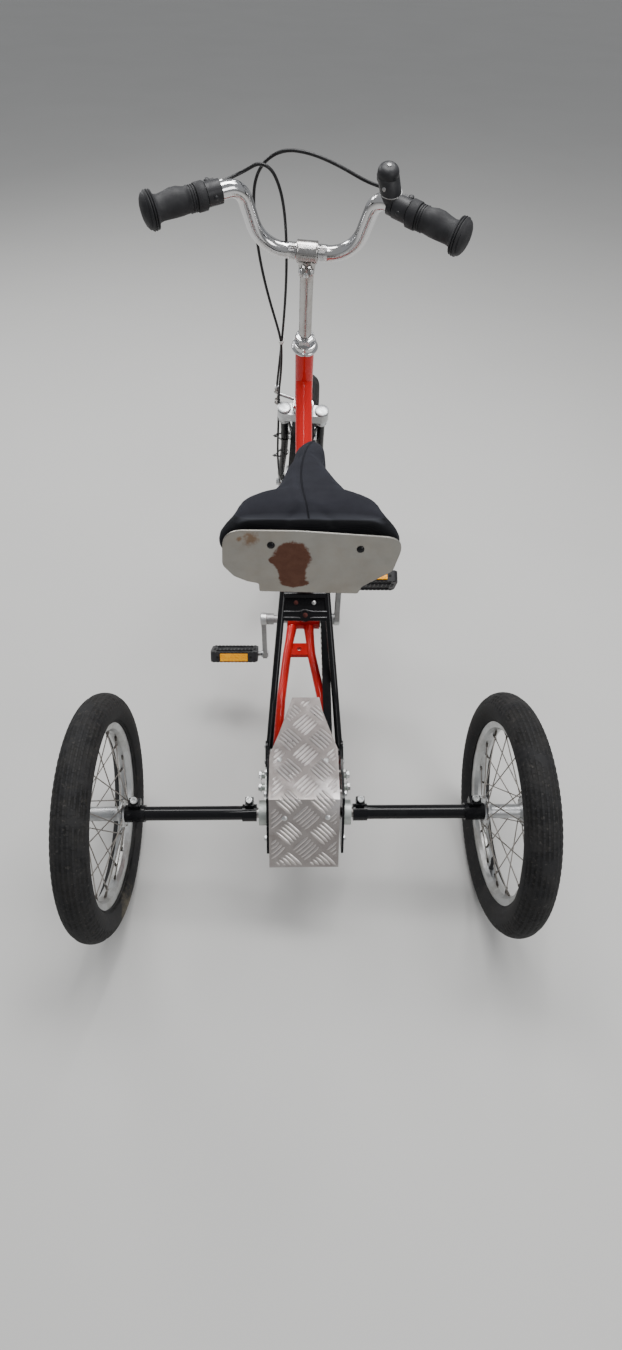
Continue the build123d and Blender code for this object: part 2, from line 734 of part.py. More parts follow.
with BuildPart() as hub_brake:
    bore = axle_radius + fit_gap
    drum = turned([
        (-hub_brake_outer, bore), (-hub_brake_outer, 22), (-hub_brake_outer + 2, hub_brake_radius),
        (-hub_brake_inner, hub_brake_radius), (-hub_brake_inner, 12), (-front_hub_half - 4, 12),
        (-front_hub_half - 4, bore),
    ])
    add(Location(level) * drum)
    boss_end = dropout_spread - dropout_thick / 2 - fit_gap
    add(rod(level - Vector(boss_end, 0, 0), level - Vector(hub_brake_outer - 1, 0, 0), 11, bore))

with BuildPart() as headset_nut:
    with BuildSketch(Plane.XY.offset(cup_top + fit_gap)):
        RegularPolygon(17.5, 6)
        Circle(steerer_radius + fit_gap, mode=Mode.SUBTRACT)
    extrude(amount=locknut_height)

with BuildPart() as stem:
    add(rod((0, 0, stem_foot), (0, 0, bar_height - 8), stem_radius))
    add(cone((0, 0, bar_height - 44), (0, 0, bar_height - 8), stem_radius, 15))
    half = clamp_width / 2
    add(rod((-half, 0, bar_height), (half, 0, bar_height), clamp_radius, bar_radius + fit_gap))
    add(rod((-half - 1, 0, bar_height), (half + 1, 0, bar_height), bar_radius + fit_gap), mode=Mode.SUBTRACT)

bar_top = bar_height + bar_rise
bar_points = [
    (-bar_half, -bar_sweep, bar_top), (-bar_shoulder, 0, bar_top), (-bar_neck, 0, bar_height),
    (bar_neck, 0, bar_height), (bar_shoulder, 0, bar_top), (bar_half, -bar_sweep, bar_top),
]
with BuildPart() as handlebar:
    add(bent(bar_points, [bend_high, bend_low, bend_low, bend_high], bar_radius))

# Grips, brake levers with their housings, and the silver ends that hold the cables
def bar_line(side):
    """One grip's outer end, the way back along the bar, and the way ahead of it"""
    end = Vector(side * bar_half, -bar_sweep, bar_top)
    back = (Vector(side * bar_shoulder, 0, bar_top) - end).normalized()
    return end, back, Vector(side * back.Y, -side * back.X, 0)


cable_starts = {}
with BuildPart() as grips:
    for side in (-1, 1):
        end, back, front = bar_line(side)
        with BuildPart(mode=Mode.PRIVATE) as grip:
            add(rod(end, end + back * grip_length, grip_radius))
            add(rod(end - back * 4, end + back * (grip_flange_thick - 4), grip_flange))
            inner = end + back * (grip_length - collar_thick)
            add(rod(inner, inner + back * collar_thick, grip_radius + 2.5))
            add(rod(end - back * seat_gap, end + back * 100, bar_radius + fit_gap), mode=Mode.SUBTRACT)
        add(grip.part)

with BuildPart() as brake_levers:
    for side in (-1, 1):
        end, back, front = bar_line(side)
        hold = end + back * lever_clamp_start
        middle = hold + back * (lever_clamp_length / 2) + front * 18 - Vector(0, 0, 4)
        with BuildPart(mode=Mode.PRIVATE) as lever:
            add(rod(hold, hold + back * lever_clamp_length, bar_radius + 4))
            with BuildSketch(Plane(origin=middle, x_dir=back, z_dir=(0, 0, 1))):
                Rectangle(20, 14)
            extrude(amount=7, both=True)
            pivot = middle + front * 5 - Vector(0, 0, 3)
            blade = [
                pivot, pivot - back * 16 + front * 9 - Vector(0, 0, 12),
                pivot - back * 88 - front * 4 - Vector(0, 0, 18),
            ]
            add(bent(blade, [14], 4.5))
            add(rod(end, end + back * 110, bar_radius + fit_gap), mode=Mode.SUBTRACT)
        add(lever.part)
        barrel = middle + back * 10.5 + front * 2
        cable_starts[side] = (barrel, barrel + back * 11 + front + Vector(0, 0, 1))

with BuildPart() as bell:
    end, back, front = bar_line(1)
    seat = end + back * bell_clamp_start
    dome = Vector(108, -2, bar_top + 27)
    add(rod(seat, seat + back * bell_clamp_length, bar_radius + 3))
    add(rod(seat + back * 4 + Vector(0, 0, bar_radius), dome, 4))
    add(rod(dome, dome + Vector(0, 0, 18), 15))
    fillet(bell.edges().group_by(Axis.Z)[-1], 9)
    add(rod(end, end + back * 130, bar_radius + fit_gap), mode=Mode.SUBTRACT)

# Side-pull brake in front of the crown, its arms reaching down past the tyre to the rim
brake_arm_radius = 3.4
brake_cable_x = -56.0
with BuildPart() as caliper:
    add(rod((0, crown_depth / 2 + 0.1, -9), (0, 30, -9), 4))
    right_arm = [(25, 28, -104), (35, 27, -64), (35, 25, -26), (0, 24, -7), (brake_cable_x, 30, 6)]
    left_arm = [(-25, 28, -104), (-35, 29, -64), (-37, 31, -30), (brake_cable_x, 33, -19)]
    add(bent(right_arm, [16, 14, 30], brake_arm_radius))
    add(bent(left_arm, [16, 10], brake_arm_radius))
    add(rod((0, 27, -9), (-38, 31, -27), brake_arm_radius))
    for side in (-1, 1):
        with Locations((side * 25.5, 30, -110)):
            Box(8, 34, 9)

# Brake cables: the left lever works the rim brake, the right lever the hub brake
left_barrel, left_start = cable_starts[-1]
right_barrel, right_start = cable_starts[1]
front_cable = [
    left_start, left_start + (left_start - left_barrel) * 2, (-91, 22, 443), (-72.5, 22, 454.5),
    (-54.5, 22, 447.5), (-43.5, 22, 423), (-37.5, 22, 393), (-34.5, 22, 350), (-34.3, 22.5, 302),
    (-35.8, 23.5, 257), (-38.6, 25, 212), (-42, 27, 168), (-45.5, 29.5, 130), (-49.3, 31, 92), (-53, 31.5, 56),
    (brake_cable_x, 31.5, 25),
]
hub_cable = [
    right_start, right_start + (right_start - right_barrel) * 2, (86, 21.5, 439.5), (68, 24, 445),
    (46, 26.5, 453.5), (19, 30, 461.5), (-8, 32.5, 466.5), (-34, 34, 466.5), (-56, 34, 457.5),
    (-73, 34, 440), (-82, 33.5, 417), (-84.5, 33, 390), (-83.5, 32.5, 352), (-80, 31.5, 310),
    (-73, 29.5, 266), (-63, 26, 222), (-52, 22, 182), (-44.5, 19, 149), (-44, 17, 112), (-46, 16, 72),
    (-50, 16, 34), (-51.5, 15.5, -4), (-52, 13, -42), (-53, 8, -80), (-54, 2, -118), (-54, -3, -156),
    (-53, -5, -192), (-50, -3, -222), (-46, 1, -246),
]
brake_cable_left = cord(front_cable)
brake_cable_right = cord(hub_cable)


def run_on(points, length):
    """The point straight on past the end of a route"""
    last, before = Vector(*points[-1]), Vector(*points[-2])
    return last + (last - before).normalized() * length


hub_stop = run_on(hub_cable, 14)
caliper_stop = run_on(front_cable, 15.4)
with BuildPart() as cable_ends:
    for start, stop in cable_starts.values():
        add(rod(start, stop, barrel_end_radius))
    add(rod(caliper_stop, front_cable[-1], barrel_end_radius))
    add(rod(hub_cable[-1], hub_stop, barrel_end_radius))

with BuildPart() as cable_ties:
    add(band([(-43.7, 28.2), (-44.5, 19)], [cable_radius + 0.5, cable_radius + 1.0], 146.5, 5, 1.2))
    add(band([(-fork_spread, 2.2), (-53.3, 6)], [leg_radius + 0.6, cable_radius + 1.2], -94, 4, 1.2))
    add(band([(-41, 8), (-54, -2)], [leg_radius + 1.2, cable_radius + 1.4], -150, 4, 1.2))

with BuildPart() as hub_brake_stop:
    with Locations(hub_stop + Vector(2.5, 4, -11.3)):
        Box(8, 14, 21)

# Wheels and hubs
wheel_places = {
    "rear_left": (
        Location(rear_axle - Vector(half_track, 0, 0)),
        (rear_radius, rear_tyre_width, rear_rim_radius, half_axle_radius, rear_hub_half),
    ),
    "rear_right": (
        Location(rear_axle + Vector(half_track, 0, 0)),
        (rear_radius, rear_tyre_width, rear_rim_radius, half_axle_radius, rear_hub_half),
    ),
    "front": (
        steer.location * Location((0, rake, -crown_to_axle)),
        (front_radius, front_tyre_width, front_rim_radius, axle_radius, front_hub_half),
    ),
}
pieces = {
    "main_frame": main_frame.part,
    "bearing_cups": bearing_cups.part,
    "seat_post": seat_post.part,
    "seat_collar": seat_collar.part,
    "saddle_frame": saddle_frame.part,
    "plate_bracket": plate_bracket.part,
    "saddle": saddle.part,
    "back_plate": back_plate.part,
    "stays": stays.part,
    "side_plates": side_plates.part,
    "bearing_housings": bearing_housings.part,
    "drive_cover": drive_cover.part,
    "chain_guard": chain_guard.part,
    "chain": chain.part,
    "drive_hub": drive_hub.part,
    "cranks": cranks.part,
    "chainring": chainring.part,
}
for word in ("left", "right"):
    pieces[f"half_axle_{word}"] = half_axles[word].part
    pieces[f"sleeve_{word}"] = sleeves[word].part
    pedal, reflector = pedals[word]
    pieces[f"pedal_{word}"] = pedal
    pieces[f"reflectors_{word}"] = reflector

steering_pieces = {
    "fork": fork.part,
    "fork_crown": fork_crown.part,
    "front_axle": front_axle.part,
    "hub_brake": hub_brake.part + hub_brake_stop.part,
    "headset_nut": headset_nut.part,
    "stem": stem.part,
    "handlebar": handlebar.part,
    "grips": grips.part,
    "brake_levers": brake_levers.part,
    "bell": bell.part,
    "caliper": caliper.part,
    "cable_ends": cable_ends.part,
    "cable_ties": cable_ties.part,
    "brake_cable_left": brake_cable_left,
    "brake_cable_right": brake_cable_right,
}
for label, shape in steering_pieces.items():
    pieces[label] = steer.location * shape

for word, (place, (radius, width, rim_radius, bore, hub_half)) in wheel_places.items():
    pieces[f"tyre_{word}"] = place * make_tyre(radius, width, rim_radius)
    pieces[f"rim_{word}"] = place * make_rim(rim_radius)
    pieces[f"hub_{word}"] = place * make_hub(bore + fit_gap, hub_half)
    pieces[f"spokes_{word}"] = place * make_spokes(rim_radius, hub_half)

for label, shape in pieces.items():
    shape.label = label
    export_step(shape, f"parts/{label}.step")
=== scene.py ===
import bpy, bmesh, math
from mathutils import Matrix, Vector


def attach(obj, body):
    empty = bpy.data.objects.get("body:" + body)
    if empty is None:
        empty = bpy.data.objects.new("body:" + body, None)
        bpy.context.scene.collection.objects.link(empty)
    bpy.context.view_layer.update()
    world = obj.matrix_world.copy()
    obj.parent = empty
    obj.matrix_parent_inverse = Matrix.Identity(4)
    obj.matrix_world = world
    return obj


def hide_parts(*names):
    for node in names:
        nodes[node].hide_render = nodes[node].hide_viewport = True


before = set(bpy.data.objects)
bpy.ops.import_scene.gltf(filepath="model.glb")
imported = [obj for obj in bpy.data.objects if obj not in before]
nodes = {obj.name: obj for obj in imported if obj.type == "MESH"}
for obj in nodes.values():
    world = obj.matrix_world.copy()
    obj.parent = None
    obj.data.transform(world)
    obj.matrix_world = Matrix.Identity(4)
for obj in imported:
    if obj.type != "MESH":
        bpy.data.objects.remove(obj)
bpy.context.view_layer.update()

# Sizes of the CAD in millimetres
MM = 0.001
REAR_Y = -466.072
AXLE_HEIGHT, HALF_TRACK = 203, 338
CREASE_HEIGHT = 272
CRANK_AHEAD, CRANK_HEIGHT, CRANK_LENGTH, CRANK_RISE = 392, 270, 100, math.radians(88)
CRANK_SIDES = ((-1, 79), (1, 66))  # each arm's side and its distance from the middle
BAR_HEIGHT = 344
BELL_SEAT = 112.5  # from the bar's end
FRONT_AXLE = (40, -306)  # ahead and up in the steering frame


def mm(x, ahead, height):
    """A point in millimetres from its distance ahead of the rear axle"""
    return Vector((x, REAR_Y + ahead, height))


def spot(x, ahead, height):
    """The same point in metres"""
    return mm(x, ahead, height) * MM


# Steering frame, as in the CAD
LEAN, TURN = math.radians(20.6), math.radians(5)
UP = Vector((0, -math.sin(LEAN), math.cos(LEAN)))
LEVEL = Vector((0, math.cos(LEAN), math.sin(LEAN)))
CROWN = Vector((0, 274.822, 522.361))
SIDEWAYS = Vector((1, 0, 0))
ACROSS = SIDEWAYS * math.cos(TURN) - LEVEL * math.sin(TURN)
AHEAD = UP.cross(ACROSS)


def steer_mm(x, ahead, up):
    """A point in millimetres from its place in the steering frame"""
    return CROWN + ACROSS * x + AHEAD * ahead + UP * up


def steer(x, ahead, up):
    """The same point in metres"""
    return steer_mm(x, ahead, up) * MM


def put(name, data):
    """An object of the scene with this data"""
    thing = bpy.data.objects.new(name, data)
    bpy.context.scene.collection.objects.link(thing)
    return thing


# Camera
SENSOR = 36.0
FOCAL_LENGTH, PICTURE_HEIGHT = 661.7, 1350  # pixels
pitch, yaw, roll = math.radians(50.1), math.radians(2.9), math.radians(2.2)
forward = Vector((math.cos(pitch) * math.sin(yaw), math.cos(pitch) * math.cos(yaw), -math.sin(pitch)))
level_right = Vector((math.cos(yaw), -math.sin(yaw), 0))
level_up = level_right.cross(forward)
right = level_right * math.cos(roll) + level_up * math.sin(roll)
up = level_up * math.cos(roll) - level_right * math.sin(roll)
cam_data = bpy.data.cameras.new("camera")
camera = put("camera", cam_data)
bpy.context.scene.camera = camera
cam_data.sensor_fit = "VERTICAL"
cam_data.sensor_height = SENSOR
cam_data.lens = SENSOR * FOCAL_LENGTH / PICTURE_HEIGHT
cam_data.clip_start = 0.02
rotation = Matrix((right, up, -forward)).transposed().to_4x4()
camera.matrix_world = Matrix.Translation(Vector((-0.0278, -1.0045, 1.2101))) @ rotation


# Materials
class Look:
    """A procedural material that is built up layer by layer"""

    def __init__(self, name, base, rough, metal=0.0, **sockets):
        self.material = bpy.data.materials.new(name)
        self.material.use_nodes = True
        self.tree = self.material.node_tree
        self.shader = self.tree.nodes["Principled BSDF"]
        sockets.update(Base_Color=(*base, 1), Roughness=rough, Metallic=metal)
        for key, value in sockets.items():
            self.shader.inputs[key.replace("_", " ")].default_value = value
        self.color, self.rough, self.normal = (*base, 1), rough, None
        self.place = self.add("TexCoord", output="Object")

    def feed(self, socket, value):
        if isinstance(value, bpy.types.NodeSocket):
            self.tree.links.new(value, socket)
        else:
            socket.default_value = value

    def add(self, kind, inputs=None, output=0, **settings):
        """One output of a new node, with its settings made and its inputs fed"""
        node = self.tree.nodes.new("ShaderNode" + kind)
        for key, value in settings.items():
            setattr(node, key, value)
        for key, value in (inputs or {}).items():
            self.feed(node.inputs[key], value)
        return node.outputs[output]

    def stretched(self, scale):
        return self.add("Mapping", {"Vector": self.place, "Scale": scale})

    def noise(self, scale, detail=3.0, rough=0.55, vector=None):
        inputs = {"Vector": vector or self.place, "Scale": scale, "Detail": detail, "Roughness": rough}
        return self.add("TexNoise", inputs, "Fac")

    def cells(self, scale):
        return self.add("TexVoronoi", {"Vector": self.place, "Scale": scale}, "Distance")

    def wave(self, scale, axis):
        return self.add("TexWave", {"Vector": self.place, "Scale": scale}, "Fac", bands_direction=axis)

    def part(self, axis, vector=None):
        """A vector's X, Y or Z"""
        return self.add("SeparateXYZ", {0: vector or self.place}, axis)

    def span(self, value, low, high, start=0.0, end=1.0):
        """A value's range from low to high, stretched to the range from start to end"""
        inputs = {"Value": value, "From Min": low, "From Max": high, "To Min": start, "To Max": end}
        return self.add("MapRange", inputs, "Result")

    def cloud(self, scale, detail, rough, *ranges):
        """Noise with its range stretched"""
        return self.span(self.noise(scale, detail, rough), *ranges)

    def math(self, operation, first, *others):
        """One operation over all the values, from left to right"""
        for other in others:
            first = self.add("Math", {0: first, 1: other}, operation=operation)
        return first

    def times(self, *values):
        return self.math("MULTIPLY", *values)

    def near(self, center, radii):
        """1 at the centre of an ellipsoid, in metres, and 0 at its edge and beyond"""
        away = self.add("VectorMath", {0: self.place, 1: center}, operation="SUBTRACT")
        scaled = self.add("VectorMath", {0: away, 1: radii}, operation="DIVIDE")
        length = self.add("VectorMath", {0: scaled}, "Value", operation="LENGTH")
        return self.span(length, 1.0, 0.0)

    def tint(self, amount, color):
        inputs = {"Factor": amount, "A": self.color, "B": (*color, 1)}
        self.color = self.add("Mix", inputs, "Result", data_type="RGBA")

    def roughen(self, amount, value):
        inputs = {"Factor": amount, "A": self.rough, "B": value}
        self.rough = self.add("Mix", inputs, "Result", data_type="FLOAT")

    def bump(self, height, depth):
        inputs = {"Distance": depth, "Height": height}
        if self.normal:
            inputs["Normal"] = self.normal
        self.normal = self.add("Bump", inputs, "Normal")

    def done(self):
        for key, value in (("Base Color", self.color), ("Roughness", self.rough), ("Normal", self.normal)):
            if isinstance(value, bpy.types.NodeSocket):
                self.feed(self.shader.inputs[key], value)
        return self.material


def painted(name, base, rough, dust, chips=0.02):
    """Glossy paint with dust in patches and small chips"""
    look = Look(name, base, rough, Coat_Weight=0.26, Coat_Roughness=0.05, Specular_IOR_Level=0.08)
    patches = look.noise(14, 5, 0.65)
    look.tint(look.span(patches, 0.5, 0.75, 0, 0.35), tuple(c * 0.6 + dust * 0.4 for c in base))
    look.roughen(look.cloud(45, 4, 0.55, 0.4, 0.7, 0, 0.6), rough + 0.22)
    chip = look.span(look.cells(95), chips, chips - 0.012)
    look.tint(look.times(chip, look.span(patches, 0.5, 0.56)), (0.32, 0.3, 0.28))
    look.bump(look.noise(700, 2), 0.00006)
    return look.done()


def painted_shade_above_bend(look, color, share):
    """Painted shade: a duller colour above the cover's bend, on its top face"""
    bend = CREASE_HEIGHT * MM
    look.tint(look.span(look.part("Z"), bend, bend + 0.0015, 0, share), color)


def metal(name, base, rough, stain, grain=(1, 1, 0.04), spread=0.3, top=None):
    """Bare metal with stains, fine scratches and uneven gloss"""
    look = Look(name, base, rough, 1.0)
    look.tint(look.cloud(22, 6, 0.7, 0.45, 0.75, 0, 0.7), stain)
    # Where given, painted shade darkens the top face above the cover's bend
    if top:
        painted_shade_above_bend(look, *top)
    look.roughen(look.cloud(60, 5, 0.65, 0.35, 0.7), rough + spread)
    look.bump(look.noise(260, 4, 0.6, look.stretched(grain)), 0.00012)
    return look.done()


EVEN = (1, 1, 1)  # grain without a direction
red_paint = painted("frame_red", (0.56, 0.014, 0.013), 0.2, 0.07)
black_paint = painted("kit_black", (0.006, 0.006, 0.007), 0.22, 0.04, 0.016)
chrome = metal("chrome_bar", (0.62, 0.62, 0.63), 0.06, (0.6, 0.57, 0.52), spread=0.16)
dull_chrome = metal("stem_steel", (0.44, 0.43, 0.42), 0.16, (0.24, 0.2, 0.17), spread=0.22)
crank_grey = metal("crank_grey", (0.36, 0.36, 0.36), 0.36, (0.2, 0.19, 0.18))
bare_steel = metal("bare_steel", (0.4, 0.39, 0.38), 0.34, (0.2, 0.15, 0.11))
alloy = metal("alloy", (0.56, 0.57, 0.58), 0.27, (0.32, 0.31, 0.29))
rim_alloy = metal("rim_alloy", (0.54, 0.55, 0.55), 0.28, (0.22, 0.2, 0.17), EVEN, 0.24)
housing_grey = metal("housing_zinc", (0.5, 0.53, 0.5), 0.42, (0.34, 0.36, 0.34), EVEN, 0.2)
bolt_zinc = metal("bolt_zinc", (0.66, 0.67, 0.67), 0.24, (0.36, 0.34, 0.31), EVEN)
spoke_steel = metal("spoke_steel", (0.3, 0.28, 0.26), 0.3, (0.16, 0.14, 0.12), EVEN)
chain_steel = metal("chain_steel", (0.3, 0.28, 0.26), 0.35, (0.12, 0.09, 0.07), EVEN)
# Lighter grey metal for the black yoke strip's raised edges, a painted highlight
strip_edge_highlight = metal("strip_edge_highlight", (0.16, 0.16, 0.165), 0.3, (0.05, 0.05, 0.05), EVEN)
dark_nipple = metal("nipple_dark", (0.12, 0.11, 0.1), 0.45, (0.05, 0.04, 0.035), EVEN)
bolt_rust = metal("bolt_brown", (0.13, 0.05, 0.045), 0.5, (0.08, 0.03, 0.025), EVEN)
# The cover's raised bars are a brighter metal than the sheet, a painted highlight, with dull stains and painted shade
# on the top face above the bend
tread_bars_highlight = metal("tread_bars", (0.64, 0.60, 0.58), 0.26, (0.42, 0.385, 0.37), EVEN, 0.24,
                     ((0.3, 0.28, 0.275), 0.7))


def tread_look():
    look = Look("tread_plate", (0.42, 0.385, 0.37), 0.38, 0.9)
    look.tint(look.cloud(9, 6, 0.7, 0.42, 0.7, 0, 0.75), (0.28, 0.25, 0.24))
    look.tint(look.cloud(48, 5, 0.75, 0.52, 0.72, 0, 0.55), (0.24, 0.21, 0.19))
    # Painted shade on the top face above the bend
    painted_shade_above_bend(look, (0.13, 0.115, 0.11), 0.72)
    # A painted highlight: a pale patch on the top face near the bend, right of the middle, broken up by noise
    painted_highlight = look.near(spot(48, -28, 274), (0.05, 0.062, 0.04))
    painted_highlight = look.math("ADD", painted_highlight, look.cloud(26, 5, 0.7, 0.3, 0.7, -0.25, 0.2))
    look.tint(look.span(painted_highlight, 0.05, 0.75, 0, 0.75), (0.78, 0.75, 0.75))
    look.roughen(look.cloud(70, 5, 0.55, 0.35, 0.7), 0.55)
    look.bump(look.noise(420, 4, 0.6, look.stretched((1, 0.12, 1))), 0.00016)
    look.bump(look.cloud(120, 3, 0.8, 0.3, 0.9), 0.0002)
    return look.done()


def plate_look():
    """Bare steel with one large brown blotch and a rusty streak"""
    look = Look("back_steel", (0.32, 0.31, 0.285), 0.36, 0.95)
    look.tint(look.cloud(16, 6, 0.7, 0.42, 0.72, 0, 0.8), (0.3, 0.27, 0.23))
    look.roughen(look.cloud(50, 5, 0.55, 0.35, 0.7), 0.5)
    edge = look.noise(70, 5, 0.7)
    blotch = look.math("MAXIMUM", *(look.near(spot(x, 131, z), (wide, 0.03, tall)) for x, z, wide, tall in (
        (-25, 646, 0.040, 0.042), (-24, 622, 0.031, 0.042), (-21, 604, 0.030, 0.012), (-42, 643, 0.022, 0.012))))
    blotch = look.math("ADD", blotch, look.span(edge, 0.35, 0.65, -0.07, 0.07))
    look.tint(look.span(blotch, 0.34, 0.42), (0.16, 0.078, 0.055))
    inside = look.times(look.span(blotch, 0.4, 0.5), look.cloud(90, 5, 0.7, 0.4, 0.7, 0, 0.6))
    look.tint(inside, (0.10, 0.045, 0.032))
    streak = look.math("MAXIMUM", look.near(spot(-76, 131, 676), (0.02, 0.02, 0.022)),
                       look.near(spot(-91, 131, 678), (0.007, 0.02, 0.008)))
    streak = look.math("ADD", streak, look.span(edge, 0.35, 0.7, -0.45, 0.2))
    look.tint(look.span(streak, 0.2, 0.6, 0, 0.75), (0.2, 0.11, 0.055))
    look.roughen(look.span(blotch, 0.34, 0.42), 0.62)
    look.bump(look.noise(300, 4, 0.6, look.stretched((0.06, 1, 1))), 0.00014)
    look.bump(look.span(blotch, 0.34, 0.46), 0.0002)
    return look.done()


def tyre_look(name, scuff=None):
    look = Look(name, (0.015, 0.015, 0.016), 0.7, Specular_IOR_Level=0.22)
    around = look.add("TexCoord", output="UV")
    inputs = {"Vector": around, "Scale": 1.0, "Mortar Size": 0.018, "Mortar Smooth": 0.3, "Brick Width": 0.22,
              "Row Height": 0.06}
    gaps = look.add("TexBrick", inputs, "Fac", offset=0.5)
    off_middle = look.math("ABSOLUTE", look.math("SUBTRACT", look.part("Y", around), 0.5), 0.0)
    grooves = look.times(gaps, look.span(off_middle, 0.3, 0.27), look.cloud(34, 3, 0.6, 0.36, 0.6))
    # The grooves are painted darker, as shade in the recesses; the bump gives their depth
    look.tint(look.times(grooves, 0.85), (0.004, 0.004, 0.004))
    look.bump(look.times(grooves, -1.0), 0.0016)
    dust = look.noise(30, 6, 0.7)
    look.tint(look.span(dust, 0.42, 0.72, 0, 0.4), (0.05, 0.047, 0.043))
    look.tint(look.cloud(190, 3, 0.7, 0.6, 0.74, 0, 0.5), (0.095, 0.088, 0.078))
    if scuff:
        patch = look.math("ADD", look.near(*scuff), look.cloud(60, 6, 0.75, 0.3, 0.7, -0.5, 0.3))
        look.tint(look.span(patch, 0.15, 0.7, 0, 0.7), (0.14, 0.12, 0.085))
    look.roughen(look.span(dust, 0.35, 0.7), 0.88)
    look.bump(look.noise(520, 3), 0.00018)
    return look.done()


def plastic(name, base, rough, grain=0.00009, dust=0.035, shine=0.3):
    look = Look(name, base, rough, Specular_IOR_Level=shine)
    look.tint(look.cloud(26, 5, 0.65, 0.48, 0.72, 0, 0.5), tuple(c + dust for c in base))
    look.roughen(look.cloud(70, 4, 0.55, 0.4, 0.7), min(rough + 0.2, 0.95))
    look.bump(look.noise(900, 2), grain)
    return look.done()


def cloth_look():
    look = Look("saddle_cloth", (0.022, 0.022, 0.028), 0.92, Sheen_Weight=0.05, Sheen_Roughness=0.5,
                Sheen_Tint=(0.5, 0.55, 0.7, 1), Specular_IOR_Level=0.12)
    look.tint(look.cloud(24, 5, 0.65, 0.4, 0.7, 0, 0.6), (0.034, 0.035, 0.044))
    ribs = look.times(look.wave(420, "X"), look.wave(420, "Y"))
    look.tint(look.span(ribs, 0.0, 0.8, 0.35, 0), (0.007, 0.007, 0.009))
    # The rear band and the skirt below a falling line are plain black
    across, ahead, height = (look.part(axis) for axis in "XYZ")
    line = look.math("SUBTRACT", 0.693, look.times(look.math("SUBTRACT", ahead, -0.316), 0.35))
    skirt = look.span(look.math("SUBTRACT", look.math("MAXIMUM", line, 0.665), height), -0.001, 0.001)
    band = look.span(ahead, -0.3145, -0.3165)
    dark = look.math("MAXIMUM", skirt, band)
    look.tint(look.times(dark, 0.92), (0.003, 0.003, 0.0035))
    look.roughen(dark, 0.6)
    # The rear edge of the top is painted paler, a painted highlight along the crest
    crest_highlight = look.times(look.span(ahead, -0.3085, -0.3135), look.math("SUBTRACT", 1.0, band),
                       look.span(height, 0.684, 0.69))
    look.tint(look.times(crest_highlight, 0.5), (0.07, 0.073, 0.085))
    # A seam curves from the nose to the rear edge, left of the middle
    along = look.math("SUBTRACT", ahead, spot(0, 240, 0).y)
    bow = look.times(look.math("ADD", look.times(along, 1.2506), 0.01336), along)
    aside = look.math("ABSOLUTE", look.math("ADD", look.math("SUBTRACT", across, bow), 0.01209), 0.0)
    seam = look.times(look.span(aside, 0.0017, 0.0006), look.span(height, 0.66, 0.666),
                      look.math("SUBTRACT", 1.0, dark))
    look.tint(look.times(seam, 0.8), (0.007, 0.007, 0.009))
    look.bump(look.times(seam, -1.0), 0.0014)
    look.bump(ribs, 0.0004)
    look.bump(dark, 0.0008)
    look.bump(look.noise(60, 4), 0.0006)
    return look.done()


def amber_look():
    look = Look("amber_lens", (0.95, 0.34, 0.003), 0.2, Coat_Weight=0.12, Coat_Roughness=0.05,
                Specular_IOR_Level=0.2)
    prisms = look.cells(260)
    look.tint(look.span(prisms, 0.2, 0.7, 0, 0.7), (1.0, 0.48, 0.008))
    look.bump(prisms, 0.0008)
    return look.done()


def tie_colours():
    """Nylon ties: the upper one white, the lower ones black"""
    look = Look("tie_nylon", (0.012, 0.012, 0.013), 0.42)
    look.tint(look.span(look.part("Z"), steer(0, 0, 60).z, steer(0, 0, 80).z), (0.7, 0.7, 0.68))
    look.bump(look.noise(800, 2), 0.00008)
    return look.done()


tread_plate = tread_look()
back_steel = plate_look()
tyre_plain = tyre_look("tyre_rubber")
tyre_scuffed = tyre_look("tyre_rubber_scuffed", (spot(-312, -118, 52), (0.016, 0.075, 0.05)))
grip_rubber = plastic("grip_rubber", (0.017, 0.017, 0.019), 0.55, 0.00025)
black_plastic = plastic("black_plastic", (0.018, 0.018, 0.02), 0.38)
guard_plastic = plastic("guard_plastic", (0.007, 0.007, 0.008), 0.7, dust=0.006, shine=0.06)
cable_black = plastic("cable_black", (0.009, 0.009, 0.01), 0.3, 0.00004)
# Near-black for the pedal's screw recesses, painted shade
recess_shade = plastic("recess_painted_shade", (0.006, 0.006, 0.006), 0.8)
tie_look = tie_colours()
saddle_cloth = cloth_look()
amber = amber_look()

carried = {
    red_paint: "main_frame",
    black_paint: "fork stays side_plates sleeve_left sleeve_right seat_collar",
    chrome: "handlebar headset_nut",
    dull_chrome: "stem",
    bare_steel: "bearing_cups seat_post saddle_frame plate_bracket front_axle half_axle_left half_axle_right drive_hub "
                "chain chainring",
    crank_grey: "cranks",
    alloy: "fork_crown caliper cable_ends hub_brake hub_front hub_rear_left hub_rear_right",
    spoke_steel: "spokes_front spokes_rear_left spokes_rear_right",
    rim_alloy: "rim_front rim_rear_left rim_rear_right",
    back_steel: "back_plate",
    tread_plate: "drive_cover",
    housing_grey: "bearing_housings",
    tyre_plain: "tyre_front tyre_rear_right",
    tyre_scuffed: "tyre_rear_left",
    grip_rubber: "grips",
    saddle_cloth: "saddle",
    black_plastic: "brake_levers bell pedal_left pedal_right",
    guard_plastic: "chain_guard",
    amber: "reflectors_left reflectors_right",
    tie_look: "cable_ties",
}
for material, names in carried.items():
    for name in names.split():
        mesh = nodes[name].data
        mesh.materials.clear()
        mesh.materials.append(material)


